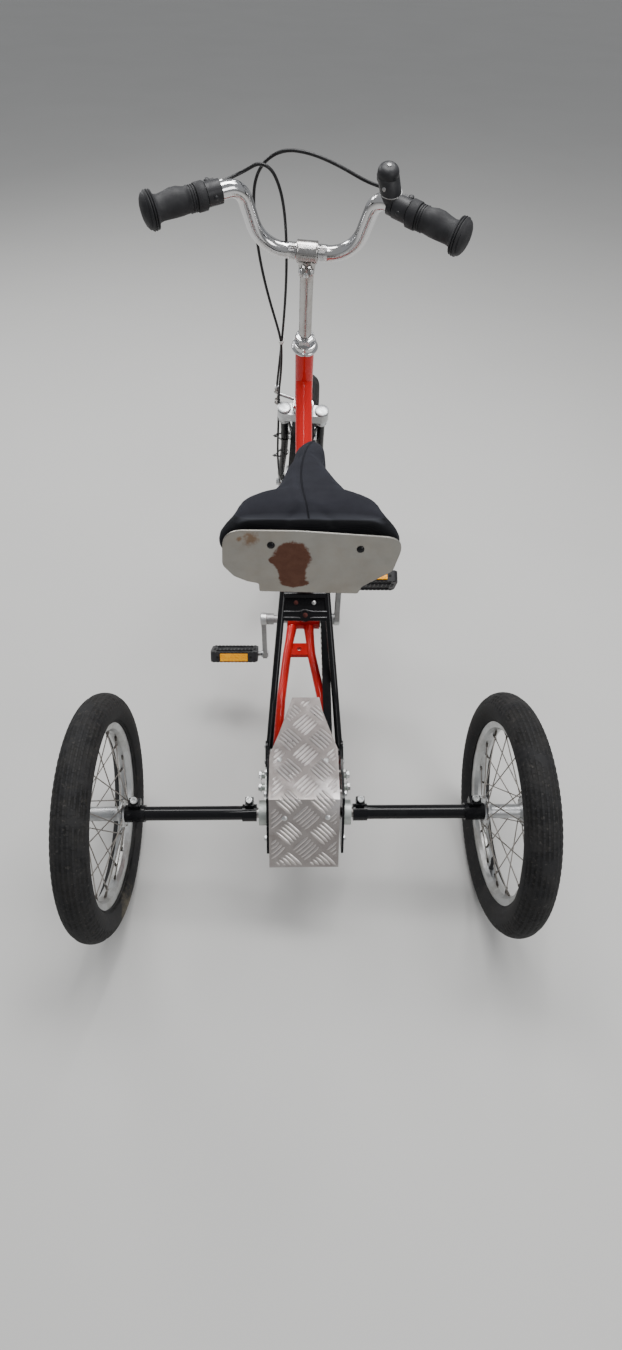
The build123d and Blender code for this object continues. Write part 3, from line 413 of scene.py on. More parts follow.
# Brake cables, with the route's points from the CAD
def cable(name, points):
    curve = bpy.data.curves.new(name, "CURVE")
    curve.dimensions = "3D"
    curve.resolution_u = 10
    curve.bevel_depth = 0.0023
    curve.bevel_resolution = 3
    curve.use_fill_caps = True
    line = curve.splines.new("NURBS")
    line.points.add(len(points) - 1)
    for target, point in zip(line.points, points):
        target.co = (*steer(*point), 1)
    line.order_u = 3
    line.use_endpoint_u = True
    curve.materials.append(cable_black)
    piece = put(name, curve)
    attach(piece, "steering")
    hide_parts(name)


def bar_line(side):
    """In the steering frame, the bar's end, the way back along the grip and the way to its front"""
    end = Vector((side * 218, -66, 436))
    back = (Vector((side * 97, 0, 436)) - end).normalized()
    return end, back, Vector((side * back.y, -side * back.x, 0))


def lever_end(side):
    """Where a lever's housing lets its cable out, and the way on"""
    end, back, front = bar_line(side)
    barrel = end + back * 106.75 + front * 20 - Vector((0, 0, 4))
    step = back * 11 + front + Vector((0, 0, 1))
    return barrel + step, barrel + step * 3


cable("brake_cable_left", [
    *lever_end(-1), (-91, 22, 443), (-72.5, 22, 454.5), (-54.5, 22, 447.5), (-43.5, 22, 423), (-37.5, 22, 393),
    (-34.5, 22, 350), (-34.3, 22.5, 302), (-35.8, 23.5, 257), (-38.6, 25, 212), (-42, 27, 168), (-45.5, 29.5, 130),
    (-49.3, 31, 92), (-53, 31.5, 56), (-56, 31.5, 25),
])
cable("brake_cable_right", [
    *lever_end(1), (86, 21.5, 439.5), (68, 24, 445), (46, 26.5, 453.5), (19, 30, 461.5), (-8, 32.5, 466.5),
    (-34, 34, 466.5), (-56, 34, 457.5), (-73, 34, 440), (-82, 33.5, 417), (-84.5, 33, 390), (-83.5, 32.5, 352),
    (-80, 31.5, 310), (-73, 29.5, 266), (-63, 26, 222), (-52, 22, 182), (-44.5, 19, 149), (-44, 17, 112), (-46, 16, 72),
    (-50, 16, 34), (-51.5, 15.5, -4), (-52, 13, -42), (-53, 8, -80), (-54, 2, -118), (-54, -3, -156), (-53, -5, -192),
    (-50, -3, -222), (-46, 1, -246),
])


# Mesh helpers
def angles(count):
    return [2 * math.pi * k / count for k in range(count)]


def hump(away, width):
    """1 in the middle, falling to 0 on both sides"""
    return math.exp(-(away / width) ** 2)


def clamp(value):
    return max(0.0, min(1.0, value))


def circle(bm, middle, u, v, radius, sides):
    """A ring of points, or one point where the radius is 0"""
    turns = angles(sides if radius else 1)
    return [bm.verts.new(middle + (u * math.cos(a) + v * math.sin(a)) * radius) for a in turns]


def bridge(bm, rings, capped=False):
    """Faces between each two rings, where a ring may be one point"""
    for low, high in zip(rings, rings[1:]):
        for k in range(max(len(low), len(high))):
            ring = [low[k % len(low)], low[(k + 1) % len(low)], high[(k + 1) % len(high)], high[k % len(high)]]
            corners = list(dict.fromkeys(ring))
            if len(corners) > 2:
                bm.faces.new(corners)
    if capped:
        bm.faces.new(rings[0])
        bm.faces.new(rings[-1])


def lathe(bm, start, axis, profile, sides=32):
    """A turned form from (along, radius) points, closed where the radius is 0"""
    axis = Vector(axis).normalized()
    u = axis.cross(Vector((0, 0, 1)) if abs(axis.z) < 0.9 else SIDEWAYS).normalized()
    v = axis.cross(u)
    bridge(bm, [circle(bm, Vector(start) + axis * along, u, v, radius, sides) for along, radius in profile])


def slab(bm, corners, thick, out):
    """A flat plate from corner points, thickened along a direction"""
    out = Vector(out).normalized() * thick
    bridge(bm, [[bm.verts.new(Vector(c) + lift) for c in corners] for lift in (Vector(), out)], capped=True)


def piece(body, slot, material, ending="", smooth=35, bevel=0.0):
    """Turns a function that draws in millimetres into a piece of the same name, which rides on a body"""
    def build(draw):
        name = draw.__name__ + ending
        bm = bmesh.new()
        draw(bm)
        bmesh.ops.recalc_face_normals(bm, faces=bm.faces)
        bmesh.ops.scale(bm, vec=(MM, MM, MM), verts=bm.verts)
        mesh = bpy.data.meshes.new(name)
        bm.to_mesh(mesh)
        bm.free()
        mesh.materials.append(material)
        made = put(name, mesh)
        mesh.shade_smooth()
        mesh.set_sharp_from_angle(angle=math.radians(smooth))
        if bevel:
            edge = made.modifiers.new("edge", "BEVEL")
            edge.width, edge.segments = bevel * MM, 2
            edge.limit_method, edge.angle_limit = "ANGLE", math.radians(40)
        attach(made, body)
        return made
    return build


def smooth_between(stations, t):
    """Catmull-Rom through a list of tuples, t from 0 to 1"""
    place = t * (len(stations) - 1)
    k = min(int(place), len(stations) - 2)
    f = place - k
    ends = [stations[max(0, min(len(stations) - 1, k + step))] for step in (-1, 0, 1, 2)]
    weights = (-f + 2 * f**2 - f**3, 2 - 5 * f**2 + 3 * f**3, f + 4 * f**2 - 3 * f**3, f**3 - f**2)
    return [sum(weight * end[i] for weight, end in zip(weights, ends)) / 2 for i in range(len(ends[0]))]


# Saddle: distance ahead of the rear axle, half width below, half width on top, underside, top, middle
SADDLE = [
    (143, 112, 88, 644, 684, -1), (147, 118, 92, 639, 691, -1), (156, 119.5, 95, 636, 696, -1.5),
    (163, 113, 95.5, 635, 697, -1.5), (169, 100, 95, 635, 697, -2), (177, 95.5, 93, 635, 697, -2),
    (186, 93, 91, 634, 697, -2), (194, 88.5, 86, 634, 696, -2), (203, 80, 78, 633, 695, -2),
    (212, 70, 65, 633, 693, -1), (224, 58, 54, 633, 692, 0), (240, 50, 47, 633, 690, 0), (262, 42, 39, 633, 688, -1.5),
    (286, 33, 30.5, 634, 685, -2.5), (305, 26, 24, 635, 683, -1), (324, 25, 23, 637, 683, 2),
    (343, 21, 19.5, 640, 680, 4.5), (359, 16, 14, 645, 676, 5.5), (372, 8.5, 6.5, 650, 671, 6),
]
SECTIONS = 44
SADDLE_BACK, SADDLE_CREASE = 143, 690
FOLD = [(145, -6), (175, -11), (215, -17), (255, -17), (300, -13), (345, -6)]  # ahead, aside


def saddle_section(ahead, low, top, under, height, middle):
    """One closed ring across the saddle: flat below, bulging side, crowned top"""
    tall = height - under
    half = [
        (0.0, under + 4), (low * 0.55, under + 3), (low * 0.88, under + 1), (low * 0.985, under + tall * 0.12),
        (low, under + tall * 0.28), (low * 0.97 + top * 0.03, under + tall * 0.46),
        (low * 0.6 + top * 0.4, under + tall * 0.68), (top, under + tall * 0.88), (top * 0.9, under + tall * 0.97),
        (top * 0.62, height + 1.0), (top * 0.3, height + 2.6), (0.0, height + 3.2),
    ]
    ring = half + [(-x, z) for x, z in reversed(half[1:-1])]
    return [spot(middle + x, ahead, z) / MM for x, z in ring]


@piece("frame", "saddle_cover", saddle_cloth, smooth=180)
def saddle_cover(bm):
    sections = [saddle_section(*smooth_between(SADDLE, k / (SECTIONS - 1))) for k in range(SECTIONS)]
    bridge(bm, [[bm.verts.new(point) for point in section] for section in sections], capped=True)


def apply_modifiers(made):
    graph = bpy.context.evaluated_depsgraph_get()
    mesh = bpy.data.meshes.new_from_object(made.evaluated_get(graph))
    made.modifiers.clear()
    made.data = mesh


def pad_saddle():
    """The cover swells under pressure, by a few millimetres at most, and gets its folds"""
    remesh = saddle_cover.modifiers.new("even", "REMESH")
    remesh.mode, remesh.voxel_size = "VOXEL", 0.0045
    apply_modifiers(saddle_cover)
    before = [vertex.co.copy() for vertex in saddle_cover.data.vertices]
    swell = saddle_cover.modifiers.new("swell", "CLOTH")
    swell.settings.use_pressure = True
    swell.settings.uniform_pressure_force = 4
    swell.settings.effector_weights.gravity = 0
    for step in range(1, 21):
        bpy.context.scene.frame_set(step)
    apply_modifiers(saddle_cover)
    for vertex, old in zip(saddle_cover.data.vertices, before):
        move = vertex.co - old
        room = 0.006 if old.z > 0.66 else 0.002
        if move.length > room:
            vertex.co = old + move.normalized() * room
    bpy.context.scene.frame_set(1)
    for vertex in saddle_cover.data.vertices:
        co = vertex.co / MM
        ahead = co.y - REAR_Y
        across = co.x - smooth_between(FOLD, clamp((ahead - FOLD[0][0]) / (FOLD[-1][0] - FOLD[0][0])))[1]
        if co.z > 678:
            depth = 2.6 * hump(across, 3.2) - 2.0 * hump(across + 8, 5.0)
            vertex.co.z -= depth * clamp((ahead - 148) / 25) * clamp((350 - ahead) / 45) * MM
        # The panel's rear edge is a soft crease over the dark rear band
        if ahead < SADDLE_BACK + 12:
            lip = hump(co.z - SADDLE_CREASE, 3.5) * (1 - (ahead - SADDLE_BACK) / 12)
            vertex.co.y -= 1.5 * lip * MM
    saddle_cover.data.shade_smooth()
    finer = saddle_cover.modifiers.new("finer", "SUBSURF")
    finer.levels = finer.render_levels = 1


pad_saddle()
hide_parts("saddle")


# Fasteners
def hex_head(bm, start, axis, size, tall, washer):
    """A hexagon head with chamfered corners on a round washer"""
    lathe(bm, start, axis, [(-0.3, 0), (-0.3, size * 1.45), (washer, size * 1.45), (washer, 0)], 28)
    top = washer + tall
    lathe(bm, start, axis,
          [(washer, 0), (washer, size * 1.12), (top - 0.8, size * 1.12), (top, size * 0.93), (top, 0)], 6)


def cap_head(bm, start, axis, size, tall):
    """A round socket head with a hexagon recess"""
    lathe(bm, start, axis, [(0, 0), (0, size), (tall - 0.9, size), (tall, size - 0.9), (tall, size * 0.55)], 28)
    lathe(bm, start, axis, [(tall, size * 0.55), (tall - 2.4, size * 0.5), (tall - 2.4, 0)], 28)


def dome_head(bm, start, axis, size, tall):
    lathe(bm, start, axis, [(-0.3, 0), (-0.3, size), (tall * 0.35, size * 0.94), (tall * 0.75, size * 0.66),
                            (tall, size * 0.25), (tall, 0)], 24)


def nut(bm, start, axis, size, tall, thread, reach):
    """A nut with the thread's end standing out"""
    hex_head(bm, start, axis, size, tall, 1.4)
    top = 1.4 + tall + reach
    lathe(bm, start, axis, [(tall, 0), (tall, thread), (top - 0.6, thread), (top, thread - 0.7), (top, 0)], 20)


# Tread plate: raised bars that are bent with the sheet
DIAGONAL = 0.7071
CREASE = mm(0, -14, CREASE_HEIGHT)
REAR_RUN = Vector((0, -66, -107)).normalized()
TOP_RUN = Vector((0, -191, -20)).normalized()
REAR_OUT = Vector((0, -107, 66)).normalized()
TOP_OUT = Vector((0, -20, 191)).normalized()
# The cover's edges on each side: distance ahead of the rear axle, x
TAPER = {
    -1: [(-13, -61), (76, -57), (105, -46), (151, -31), (177, -23)],
    1: [(-13, 53), (76, 53), (112, 41), (151, 29), (177, 24.7)],
}


def sheet_point(x, s, lift):
    """A point on the cover: s runs down the rear face from the crease, and forward where it is below 0"""
    run, out = (REAR_RUN, REAR_OUT) if s > 0 else (TOP_RUN, TOP_OUT)
    near = max(0.0, 1 - abs(s) / 3)
    out = (out + (TOP_OUT + REAR_OUT - out) * near * 0.5).normalized()
    return CREASE + SIDEWAYS * x + run * s + out * lift


def side_limit(s, side):
    ahead = -14 - s * 0.995
    stations = TAPER[side]
    if ahead <= stations[0][0]:
        return stations[0][1]
    for (low, first), (high, second) in zip(stations, stations[1:]):
        if ahead <= high:
            return first + (second - first) * (ahead - low) / (high - low)
    return stations[-1][1]


def tread_bar(bm, x, s, slope, length=35, width=2.7, lift=1.35, count=12):
    """One bar, cut off at the cover's edges"""
    marks = []
    for k in range(count):
        reach = (k / (count - 1) * 2 - 1) * length / 2 * DIAGONAL
        px, ps = x + slope * reach, s + reach
        if side_limit(ps, -1) + 2 < px < side_limit(ps, 1) - 2 and -188 < ps < 123:
            marks.append((px, ps))
    if len(marks) < 4:
        return
    rows = []
    for k, (px, ps) in enumerate(marks):
        full = (0.0, 0.6, 0.85, 1.0)[min(k, len(marks) - 1 - k, 3)]
        row = []
        for across, high in ((-1, 0), (-0.62, 0.85), (0, 1), (0.62, 0.85), (1, 0)):
            shift = across * width * (0.12 + 0.88 * full) * DIAGONAL
            row.append(bm.verts.new(sheet_point(px + shift, ps - slope * shift, high * lift * full - 0.05)))
        rows.append(row)
    for first, second in zip(rows, rows[1:]):
        for k in range(4):
            bm.faces.new((first[k], first[k + 1], second[k + 1], second[k]))


@piece("frame", "tread_plate", tread_bars_highlight, smooth=60)
def tread_bars(bm):
    """Groups of five bars, turned a quarter from group to group"""
    pitch, spacing = 57, 6.5
    for k in range(-4, 3):
        for slope, columns, start in ((1, (-85, -29, 27, 83), 5), (-1, (-57, -1, 55), 33.5)):
            for x in columns:
                for bar in range(-2, 3):
                    off = bar * spacing * DIAGONAL
                    tread_bar(bm, x + off, start + k * pitch - slope * off, slope)


@piece("frame", "tread_plate", bolt_zinc)
def cover_rivets(bm):
    for x, s in ((-45, -71), (33, -69), (-36, 34), (34, 33)):
        base = sheet_point(x, s, 0)
        dome_head(bm, base, sheet_point(x, s, 1) - base, 4.6, 2.2)


@piece("frame", "tread_plate", tread_plate)
def cover_lip(bm):
    """A folded edge along the cover's foot"""
    left, right = -61, 53
    start, end = sheet_point(left, 125, -1.4), sheet_point(right, 125, -1.4)
    lathe(bm, start, end - start, [(0, 0), (0, 1.7), (right - left, 1.7), (right - left, 0)], 12)


# Bolts of the rear axle kit
@piece("frame", "alloy", bolt_zinc)
def kit_bolts(bm):
    for side, face in ((-1, -65.6), (1, 61.6)):
        out = SIDEWAYS * side
        for ahead in (48, 72):
            hex_head(bm, mm(face + side * 10.6, ahead, 205), out, 6.2, 4.2, 1.2)
        hex_head(bm, mm(face, 122, 218), out, 4.6, 3.4, 1)
        for ahead, height in ((84, 230), (108, 242)):
            dome_head(bm, mm(face + side * 4, ahead, height), out, 4.5, 2.6)
        for ahead, height in ((4, 258), (42, 264), (-38, 186)):
            hex_head(bm, mm(face, ahead, height), out, 4.4, 3.2, 1)


YOKE_DOWN = Vector((0, -126.5, -121)).normalized()
YOKE_OUT = Vector((0, -121, 126.5)).normalized()


def yoke(x, down, out):
    """A point on the stays' yoke, from the middle of its top bar"""
    return mm(x, 318.5, 404) + YOKE_DOWN * down + YOKE_OUT * out


@piece("frame", "alloy", bolt_zinc)
def yoke_bolt_bright(bm):
    dome_head(bm, yoke(15.3, 13.5, 2), YOKE_OUT, 4.2, 2.6)


@piece("frame", "bare_steel", bolt_rust)
def yoke_bolts_brown(bm):
    dome_head(bm, yoke(-16.3, 13.5, 2), YOKE_OUT, 4.2, 2.4)
    dome_head(bm, yoke(0, 35.5, 6.6), YOKE_OUT, 4.6, 2.4)


@piece("frame", "black_paint", strip_edge_highlight, smooth=50)
def yoke_strip(bm):
    """The folded strip's two raised edges, which swell round the middle bolt, in lighter metal as a painted highlight
    """
    for edge in (-1, 1):
        rings = []
        for k in range(25):
            x = -38 + 76 * k / 24
            middle = yoke(x, 34.2 + edge * (5.2 + 3.2 * hump(x, 7.5)), 5.6)
            rings.append(circle(bm, middle, YOKE_DOWN, YOKE_OUT, 1.1, 8))
        bridge(bm, rings, capped=True)


@piece("frame", "black_paint", black_paint)
def yoke_washer(bm):
    lathe(bm, yoke(0, 35.5, 3.6), YOKE_OUT, [(0, 0), (0, 9), (2.4, 8.8), (3, 7.8), (3, 0)])


# Back plate: corners across and up, with the radius of each
PLATE_FRONT, PLATE_THICK = 133.1, 3
PLATE = [(-116, 634, 16), (-112, 690.5, 30), (-18, 689.8, 60), (121, 679.5, 30), (110, 625, 15), (71, 597, 6),
         (66, 584, 4), (-69, 588, 3), (-69, 602, 5), (-85, 606, 12), (-102, 615, 14)]


def rounded(corners, steps=9):
    """A closed outline with its corners rounded off"""
    outline = []
    for k, (x, z, radius) in enumerate(corners):
        here = Vector((x, z))
        before, after = Vector(corners[k - 1][:2]) - here, Vector(corners[(k + 1) % len(corners)][:2]) - here
        half = before.angle(after) / 2
        reach = min(radius / math.tan(half), before.length * 0.48, after.length * 0.48)
        first, last = here + before.normalized() * reach, here + after.normalized() * reach
        for n in range(steps):
            t = n / (steps - 1)
            outline.append(first * (1 - t) ** 2 + here * 2 * t * (1 - t) + last * t * t)
    return outline


@piece("frame", "black_paint", black_paint)
def plate_bolts(bm):
    for x, z in ((-51.4, 667.7), (63.7, 661.9)):
        dome_head(bm, mm(x, PLATE_FRONT - PLATE_THICK, z), (0, -1, 0), 5.2, 3.2)


@piece("frame", "plate_steel", back_steel, bevel=0.7)
def back_sheet(bm):
    slab(bm, [mm(x, PLATE_FRONT, z) for x, z in rounded(PLATE)], PLATE_THICK, (0, -1, 0))


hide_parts("back_plate")


@piece("frame", "bare_steel", bolt_zinc)
def seat_bolts(bm):
    """Bolts of the seat collar and of the saddle's clamp"""
    seat_top = mm(0, CRANK_AHEAD, CRANK_HEIGHT) + UP * 300
    for side in (-1, 1):
        hex_head(bm, seat_top - UP * 11 + Vector((side * 11, -20.3, 0)), SIDEWAYS * side, 4.6, 3.6, 1.2)
        hex_head(bm, seat_top + UP * 75 + Vector((side * 32, -6, -1)), SIDEWAYS * side, 6, 4.5, 1.5)


# A socket screw on the block of each sleeve clamp, and the end of each rear axle
for side, word, inner_start in ((-1, "left", 83), (1, "right", 79)):
    @piece("rear_wheel_" + word, "alloy", bolt_zinc, "_" + word)
    def clamp_screws(bm):
        for start, length in ((inner_start, 24), (269, 32.5)):
            cap_head(bm, mm(side * (start + length / 2), 9.75, AXLE_HEIGHT + 26), (0, -3, 8), 5.9, 5.2)

    @piece("rear_wheel_" + word, "alloy", bolt_zinc, "_" + word)
    def axle_nut(bm):
        start = mm(side * (HALF_TRACK + 36.2), 0, AXLE_HEIGHT)
        for profile, sides in (([(0, 8.6), (0, 15), (2.4, 15), (2.4, 8.6)], 32),
                               ([(2.5, 8.6), (2.5, 13.6), (12, 13.6), (13.2, 11.8), (13.2, 8.6)], 6),
                               ([(18.7, 0), (18.7, 7.2), (19.6, 6), (19.6, 0)], 24)):
            lathe(bm, start, SIDEWAYS * side, profile, sides)


# Wheels: centre, axis, way ahead, radius, tyre width, rim radius, half the way between the flanges, body
REAR = (SIDEWAYS, Vector((0, 1, 0)), 203.0, 54.0, 158.5, 33.0)
WHEELS = {
    "rear_left": (mm(-HALF_TRACK, 0, AXLE_HEIGHT), *REAR, "rear_wheel_left"),
    "rear_right": (mm(HALF_TRACK, 0, AXLE_HEIGHT), *REAR, "rear_wheel_right"),
    "front": (steer_mm(0, *FRONT_AXLE), ACROSS, AHEAD, 250.0, 50.0, 207.0, 26.0, "front_wheel"),
}
SPOKES = 14  # on each side
FLANGE = 24


def wheel_point(wheel, across, angle, out):
    centre, axis, ahead = WHEELS[wheel][:3]
    return centre + axis * across + (ahead * math.cos(angle) + axis.cross(ahead) * math.sin(angle)) * out


def tyre_profile(radius, width, rim, steps=30):
    """(across, radius, tread share) from bead to bead, with a share of 2 below the tyre's middle"""
    section = width / 2
    middle = radius - section
    low = math.asin((middle - rim - 0.6) / section)
    profile = []
    for k in range(steps + 1):
        angle = -low + (math.pi + 2 * low) * k / steps
        across, out = section * math.cos(angle), section * math.sin(angle)
        profile.append((across, middle + out, abs(across) / section if out > 0 else 2.0))
    return profile


def draw_tyre(bm, wheel):
    """A tyre with notched shoulders, and a layer of places round it and across it for its tread"""
    radius, width, rim = WHEELS[wheel][3:6]
    profile = tyre_profile(radius, width, rim)
    around = 2 * math.pi * radius
    count = round(around / 12.2) * 3
    uv = bm.loops.layers.uv.new("around")
    rings = []
    for k, angle in enumerate(angles(count)):
        ring = []
        for across, out, shoulder in profile:
            notch = (k + (2 if across > 0 else 0)) % 3 == 0
            cut = 1.5 if 0.62 < shoulder < 0.985 and notch else 0.7 if 0.5 < shoulder < 0.6 else 0.0
            ring.append(bm.verts.new(wheel_point(wheel, across, angle, out - cut)))
        # Inside walls down into the rim
        for across in (-width * 0.30, width * 0.30):
            ring.append(bm.verts.new(wheel_point(wheel, across, angle, rim - 5.5)))
        rings.append(ring)
    size, repeats = len(rings[0]), round(around / 36.6)
    for k in range(1, count + 1):
        first, second = rings[k - 1], rings[k % count]
        for n in range(size):
            face = bm.faces.new((first[n - 1], first[n], second[n], second[n - 1]))
            for loop, (turn, row) in zip(face.loops, ((k - 1, n - 1), (k - 1, n), (k, n), (k, n - 1))):
                loop[uv].uv = (turn / count * repeats, row % size / 30)


def spoke_ends(wheel):
    """Each spoke's two ends, as in the CAD, with its head and the way it leans"""
    rim, hub_half = WHEELS[wheel][5:7]
    step = math.radians(360 / SPOKES)
    for side in (-1, 1):
        for count in range(SPOKES):
            way = 1 if count % 2 else -1
            at_hub = step * (count + (0.5 if side > 0 else 0))
            beside = 2.05 + (1.2 if way == side else 0)
            start = wheel_point(wheel, side * hub_half + way * beside, at_hub, FLANGE)
            end = wheel_point(wheel, side * 2.5, at_hub + way * step * 2, rim - 20.4)
            head = wheel_point(wheel, side * hub_half - way, at_hub, FLANGE)
            yield start, end, head, way


for wheel, (_, axis, _, _, _, rim, _, body) in WHEELS.items():
    scuffed = wheel == "rear_left"

    @piece(body, "tyre", tyre_scuffed if scuffed else tyre_plain, "_" + wheel, smooth=42)
    def tread(bm):
        draw_tyre(bm, wheel)
    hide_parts("tyre_" + wheel)

    @piece(body, "bare_steel", dark_nipple, "_" + wheel)
    def nipples(bm):
        for start, end, head, way in spoke_ends(wheel):
            back = (start - end).normalized()
            lathe(bm, end - back, back, [(0, 0), (0, 2.1), (4, 2.1), (9.5, 1.7), (10.5, 1.15), (10.5, 0)], 10)

    @piece(body, "bare_steel", spoke_steel, "_" + wheel)
    def spoke_heads(bm):
        for start, end, head, way in spoke_ends(wheel):
            dome_head(bm, head, axis * -way, 2, 1.1)
            elbow = head + axis * way * 1.9
            lathe(bm, elbow, start - elbow, [(0, 0), (0, 1), ((start - elbow).length, 1)], 8)

    @piece(body, "black_plastic", black_plastic, "_" + wheel)
    def valve(bm):
        angle = math.radians(74 if scuffed else 251)
        base, inner = (wheel_point(wheel, 0, angle, rim - depth) for depth in (19.5, 60))
        lathe(bm, base, inner - base,
              [(0, 0), (0, 4.6), (3, 4.4), (6, 3.1), (16, 2.9), (16, 3.9), (25, 3.9), (26.5, 3.2), (26.5, 0)], 18)

    @piece(body, "alloy", rim_alloy, "_" + wheel, smooth=80)
    def rim_beads(bm):
        """The rim's rolled edges, a fine bead along each lip"""
        for side in (-1, 1):
            rings = []
            for angle in angles(144):
                middle, hub = (wheel_point(wheel, side * 14, angle, out) for out in (rim - 1, 0))
                rings.append(circle(bm, middle, axis, (middle - hub).normalized(), 1.9, 8))
            bridge(bm, rings + rings[:1])


# Front axle nuts, fork crown caps, headset and stem
@piece("steering", "alloy", bolt_zinc)
def front_axle_nuts(bm):
    for side in (-1, 1):
        nut(bm, steer_mm(side * 57.2, *FRONT_AXLE), ACROSS * side, 7.4, 6, 4.9, 0.2)


@piece("steering", "alloy", alloy)
def crown_caps(bm):
    for side in (-1, 1):
        lathe(bm, steer_mm(side * 38.5, 0, 0.2), UP,
              [(0, 0), (0, 13.4), (1.2, 14), (2.4, 13.6), (3.2, 12.2), (3.7, 6), (3.8, 0)], 36)
        lathe(bm, steer_mm(side * 38.5, 0.2, -34), UP, [(0, 8.2), (0, 11.6), (1.5, 12), (3, 11.6), (3, 11.1)])


@piece("frame", "chrome", chrome, smooth=50)
def headset_rings(bm):
    lathe(bm, CROWN + UP * 158.5, UP, [(0, 17.1), (-1.5, 19), (0, 22.6), (2.4, 24), (4.2, 23.6), (5.6, 21.8),
                                       (6.2, 20.6), (13.4, 20.6), (14, 19.4), (14, 13.2)], 48)
    lathe(bm, CROWN + UP * 14.5, UP, [(0, 17.1), (0.6, 20.8), (-2.2, 22.2), (-4.4, 21.8), (-5.4, 20.6)], 48)


@piece("steering", "chrome", chrome)
def lock_ring(bm):
    lathe(bm, CROWN + UP * 184, UP,
          [(0, 12.9), (0, 15.8), (1, 16.4), (2, 15.6), (2.4, 13.8), (3.6, 13.2), (4, 11.3)], 40)
    lathe(bm, CROWN + UP * 172.4, UP, [(0, 13), (0, 18.8), (1.6, 18.8), (1.6, 13)], 40)


STEM_BOLT = (-15.6, 321.5)  # ahead and up in the steering frame


@piece("steering", "bare_steel", dull_chrome, bevel=0.8)
def stem_ears(bm):
    """Two ears under the bar at the clamp's back, a collar on the bolt, and the clamp's rolled edges"""
    for side in (-1, 1):
        corners = [steer_mm(side * 2.2, a, z) for a, z in ((-9, 334), (-17, 330), (-21, 321), (-17, 314), (-8, 318))]
        slab(bm, corners, 5, ACROSS * side)
    lathe(bm, steer_mm(-10.2, *STEM_BOLT), ACROSS, [(0, 0), (0, 5.4), (1.2, 5.8), (2.8, 5.8)], 24)
    for side in (-1, 1):
        rim = [(side * 13.6, 15.6), (side * 15.2, 16.1), (side * 16.4, 14.6), (side * 16.4, 11.3)]
        lathe(bm, steer_mm(0, 0, BAR_HEIGHT), ACROSS, rim, 40)


@piece("steering", "alloy", bolt_zinc)
def stem_bolt(bm):
    for side in (1, -1):
        hex_head(bm, steer_mm(side * 7.2, *STEM_BOLT), ACROSS * side, 5.2, 3.8, 1)
    dome_head(bm, steer_mm(0, -20.6, 320), -AHEAD, 4.4, 2.6)


@piece("steering", "chrome", chrome)
def bar_knurls(bm):
    """The thicker middle of the bar on each side of the clamp, with fine rings"""
    profile = [(0, 11.2), (0.4, 12)]
    for k in range(7):
        profile += [(1.2 + k * 1.6, 12.1), (2 + k * 1.6, 11.5)]
    profile += [(13.2, 11.9), (14, 11.2)]
    for side in (-1, 1):
        lathe(bm, steer_mm(side * 16.6, 0, BAR_HEIGHT), ACROSS * side, profile, 40)


# Rim brake: adjuster, bare wire and its bolt, pivot nut, rubber pads and their bolts
@piece("steering", "alloy", bare_steel)
def brake_fittings(bm):
    lathe(bm, steer_mm(-56, 31.2, 9), UP,
          [(0, 0), (0, 4.4), (1, 6.6), (4.5, 6.6), (5.5, 4.6), (9, 4.4), (11, 3.7)], 24)
    hex_head(bm, steer_mm(-56, 36.2, -19), AHEAD, 4, 3.4, 1.2)
    hex_head(bm, steer_mm(-56, 29.6, -19), -AHEAD, 4, 3, 1)
    nut(bm, steer_mm(0, 30, -9), AHEAD, 5.4, 5, 3, 2)
    lathe(bm, steer_mm(-56, 33, -19), UP, [(-5, 0), (-5, 0.9), (26, 0.9), (26, 0)], 10)
    for side in (-1, 1):
        hex_head(bm, steer_mm(side * 29.5, 29, -108), ACROSS * side, 4.2, 3.4, 1)


@piece("steering", "black_plastic", grip_rubber, bevel=0.8)
def brake_pads(bm):
    """Two blocks with rounded ends"""
    for side in (-1, 1):
        corners = []
        for a in angles(24):
            long, tall = (math.copysign(abs(part) ** 0.72, part) for part in (math.cos(a), math.sin(a)))
            corners.append(steer_mm(side * 21.4, 30 + 17.4 * long, -110 + 4.9 * tall))
        slab(bm, corners, 6.2, ACROSS * side)


@piece("steering", "cable_sleeve", cable_black, bevel=0.3)
def tie_tails(bm):
    """A tail and a lock on each lower tie"""
    for x, ahead, z in ((-58.6, 4.5, -94), (-60.4, -3.5, -150)):
        for thick, corners in ((1.1, ((0, 0, 0), (-5.5, -2, 1), (-5.5, -2, 3.4), (0, 0, 4))),
                               (4, ((2, -2.5, -0.6), (-2.6, -2.5, -0.6), (-2.6, -2.5, 4.6), (2, -2.5, 4.6)))):
            slab(bm, [steer_mm(x + a, ahead + b, z + c) for a, b, c in corners], thick, AHEAD)


def bar_way(side):
    """The bar's end in millimetres, the way back along the grip and the way to its front"""
    end, back, front = bar_line(side)
    turn = Matrix((ACROSS, AHEAD, UP)).transposed()
    return steer_mm(*end), turn @ back, turn @ front


# Grips: stacked ribs round the end, a soft body with a palm swell, rings before the collar
GRIP = [
    (-9.5, 0), (-9.3, 6), (-8.4, 12), (-6.8, 17), (-4.4, 20.8), (-2.6, 22.4), (-2.2, 21.6), (-1.2, 22), (0.2, 24),
    (1.6, 24.8), (2.6, 24.3), (3, 22.6), (3.5, 22.4), (4, 24.2), (5, 24.9), (6, 24.3), (6.4, 22.6), (6.9, 22.3),
    (7.4, 23.6), (8.4, 24.2), (9.4, 23.5), (9.9, 21.6), (11, 18.8), (13, 16.9), (18, 15.9), (26, 15.6), (36, 15.8),
    (46, 15.9), (54, 15.7), (58, 15.6), (59.4, 16.6), (60.6, 16.6), (61.2, 15.4), (62.4, 15.4), (63, 16.6),
    (64.2, 16.6), (64.8, 15.4), (66, 15.4), (66.6, 16.7), (67.8, 16.7), (68.6, 15.2), (69.8, 15.2),
]


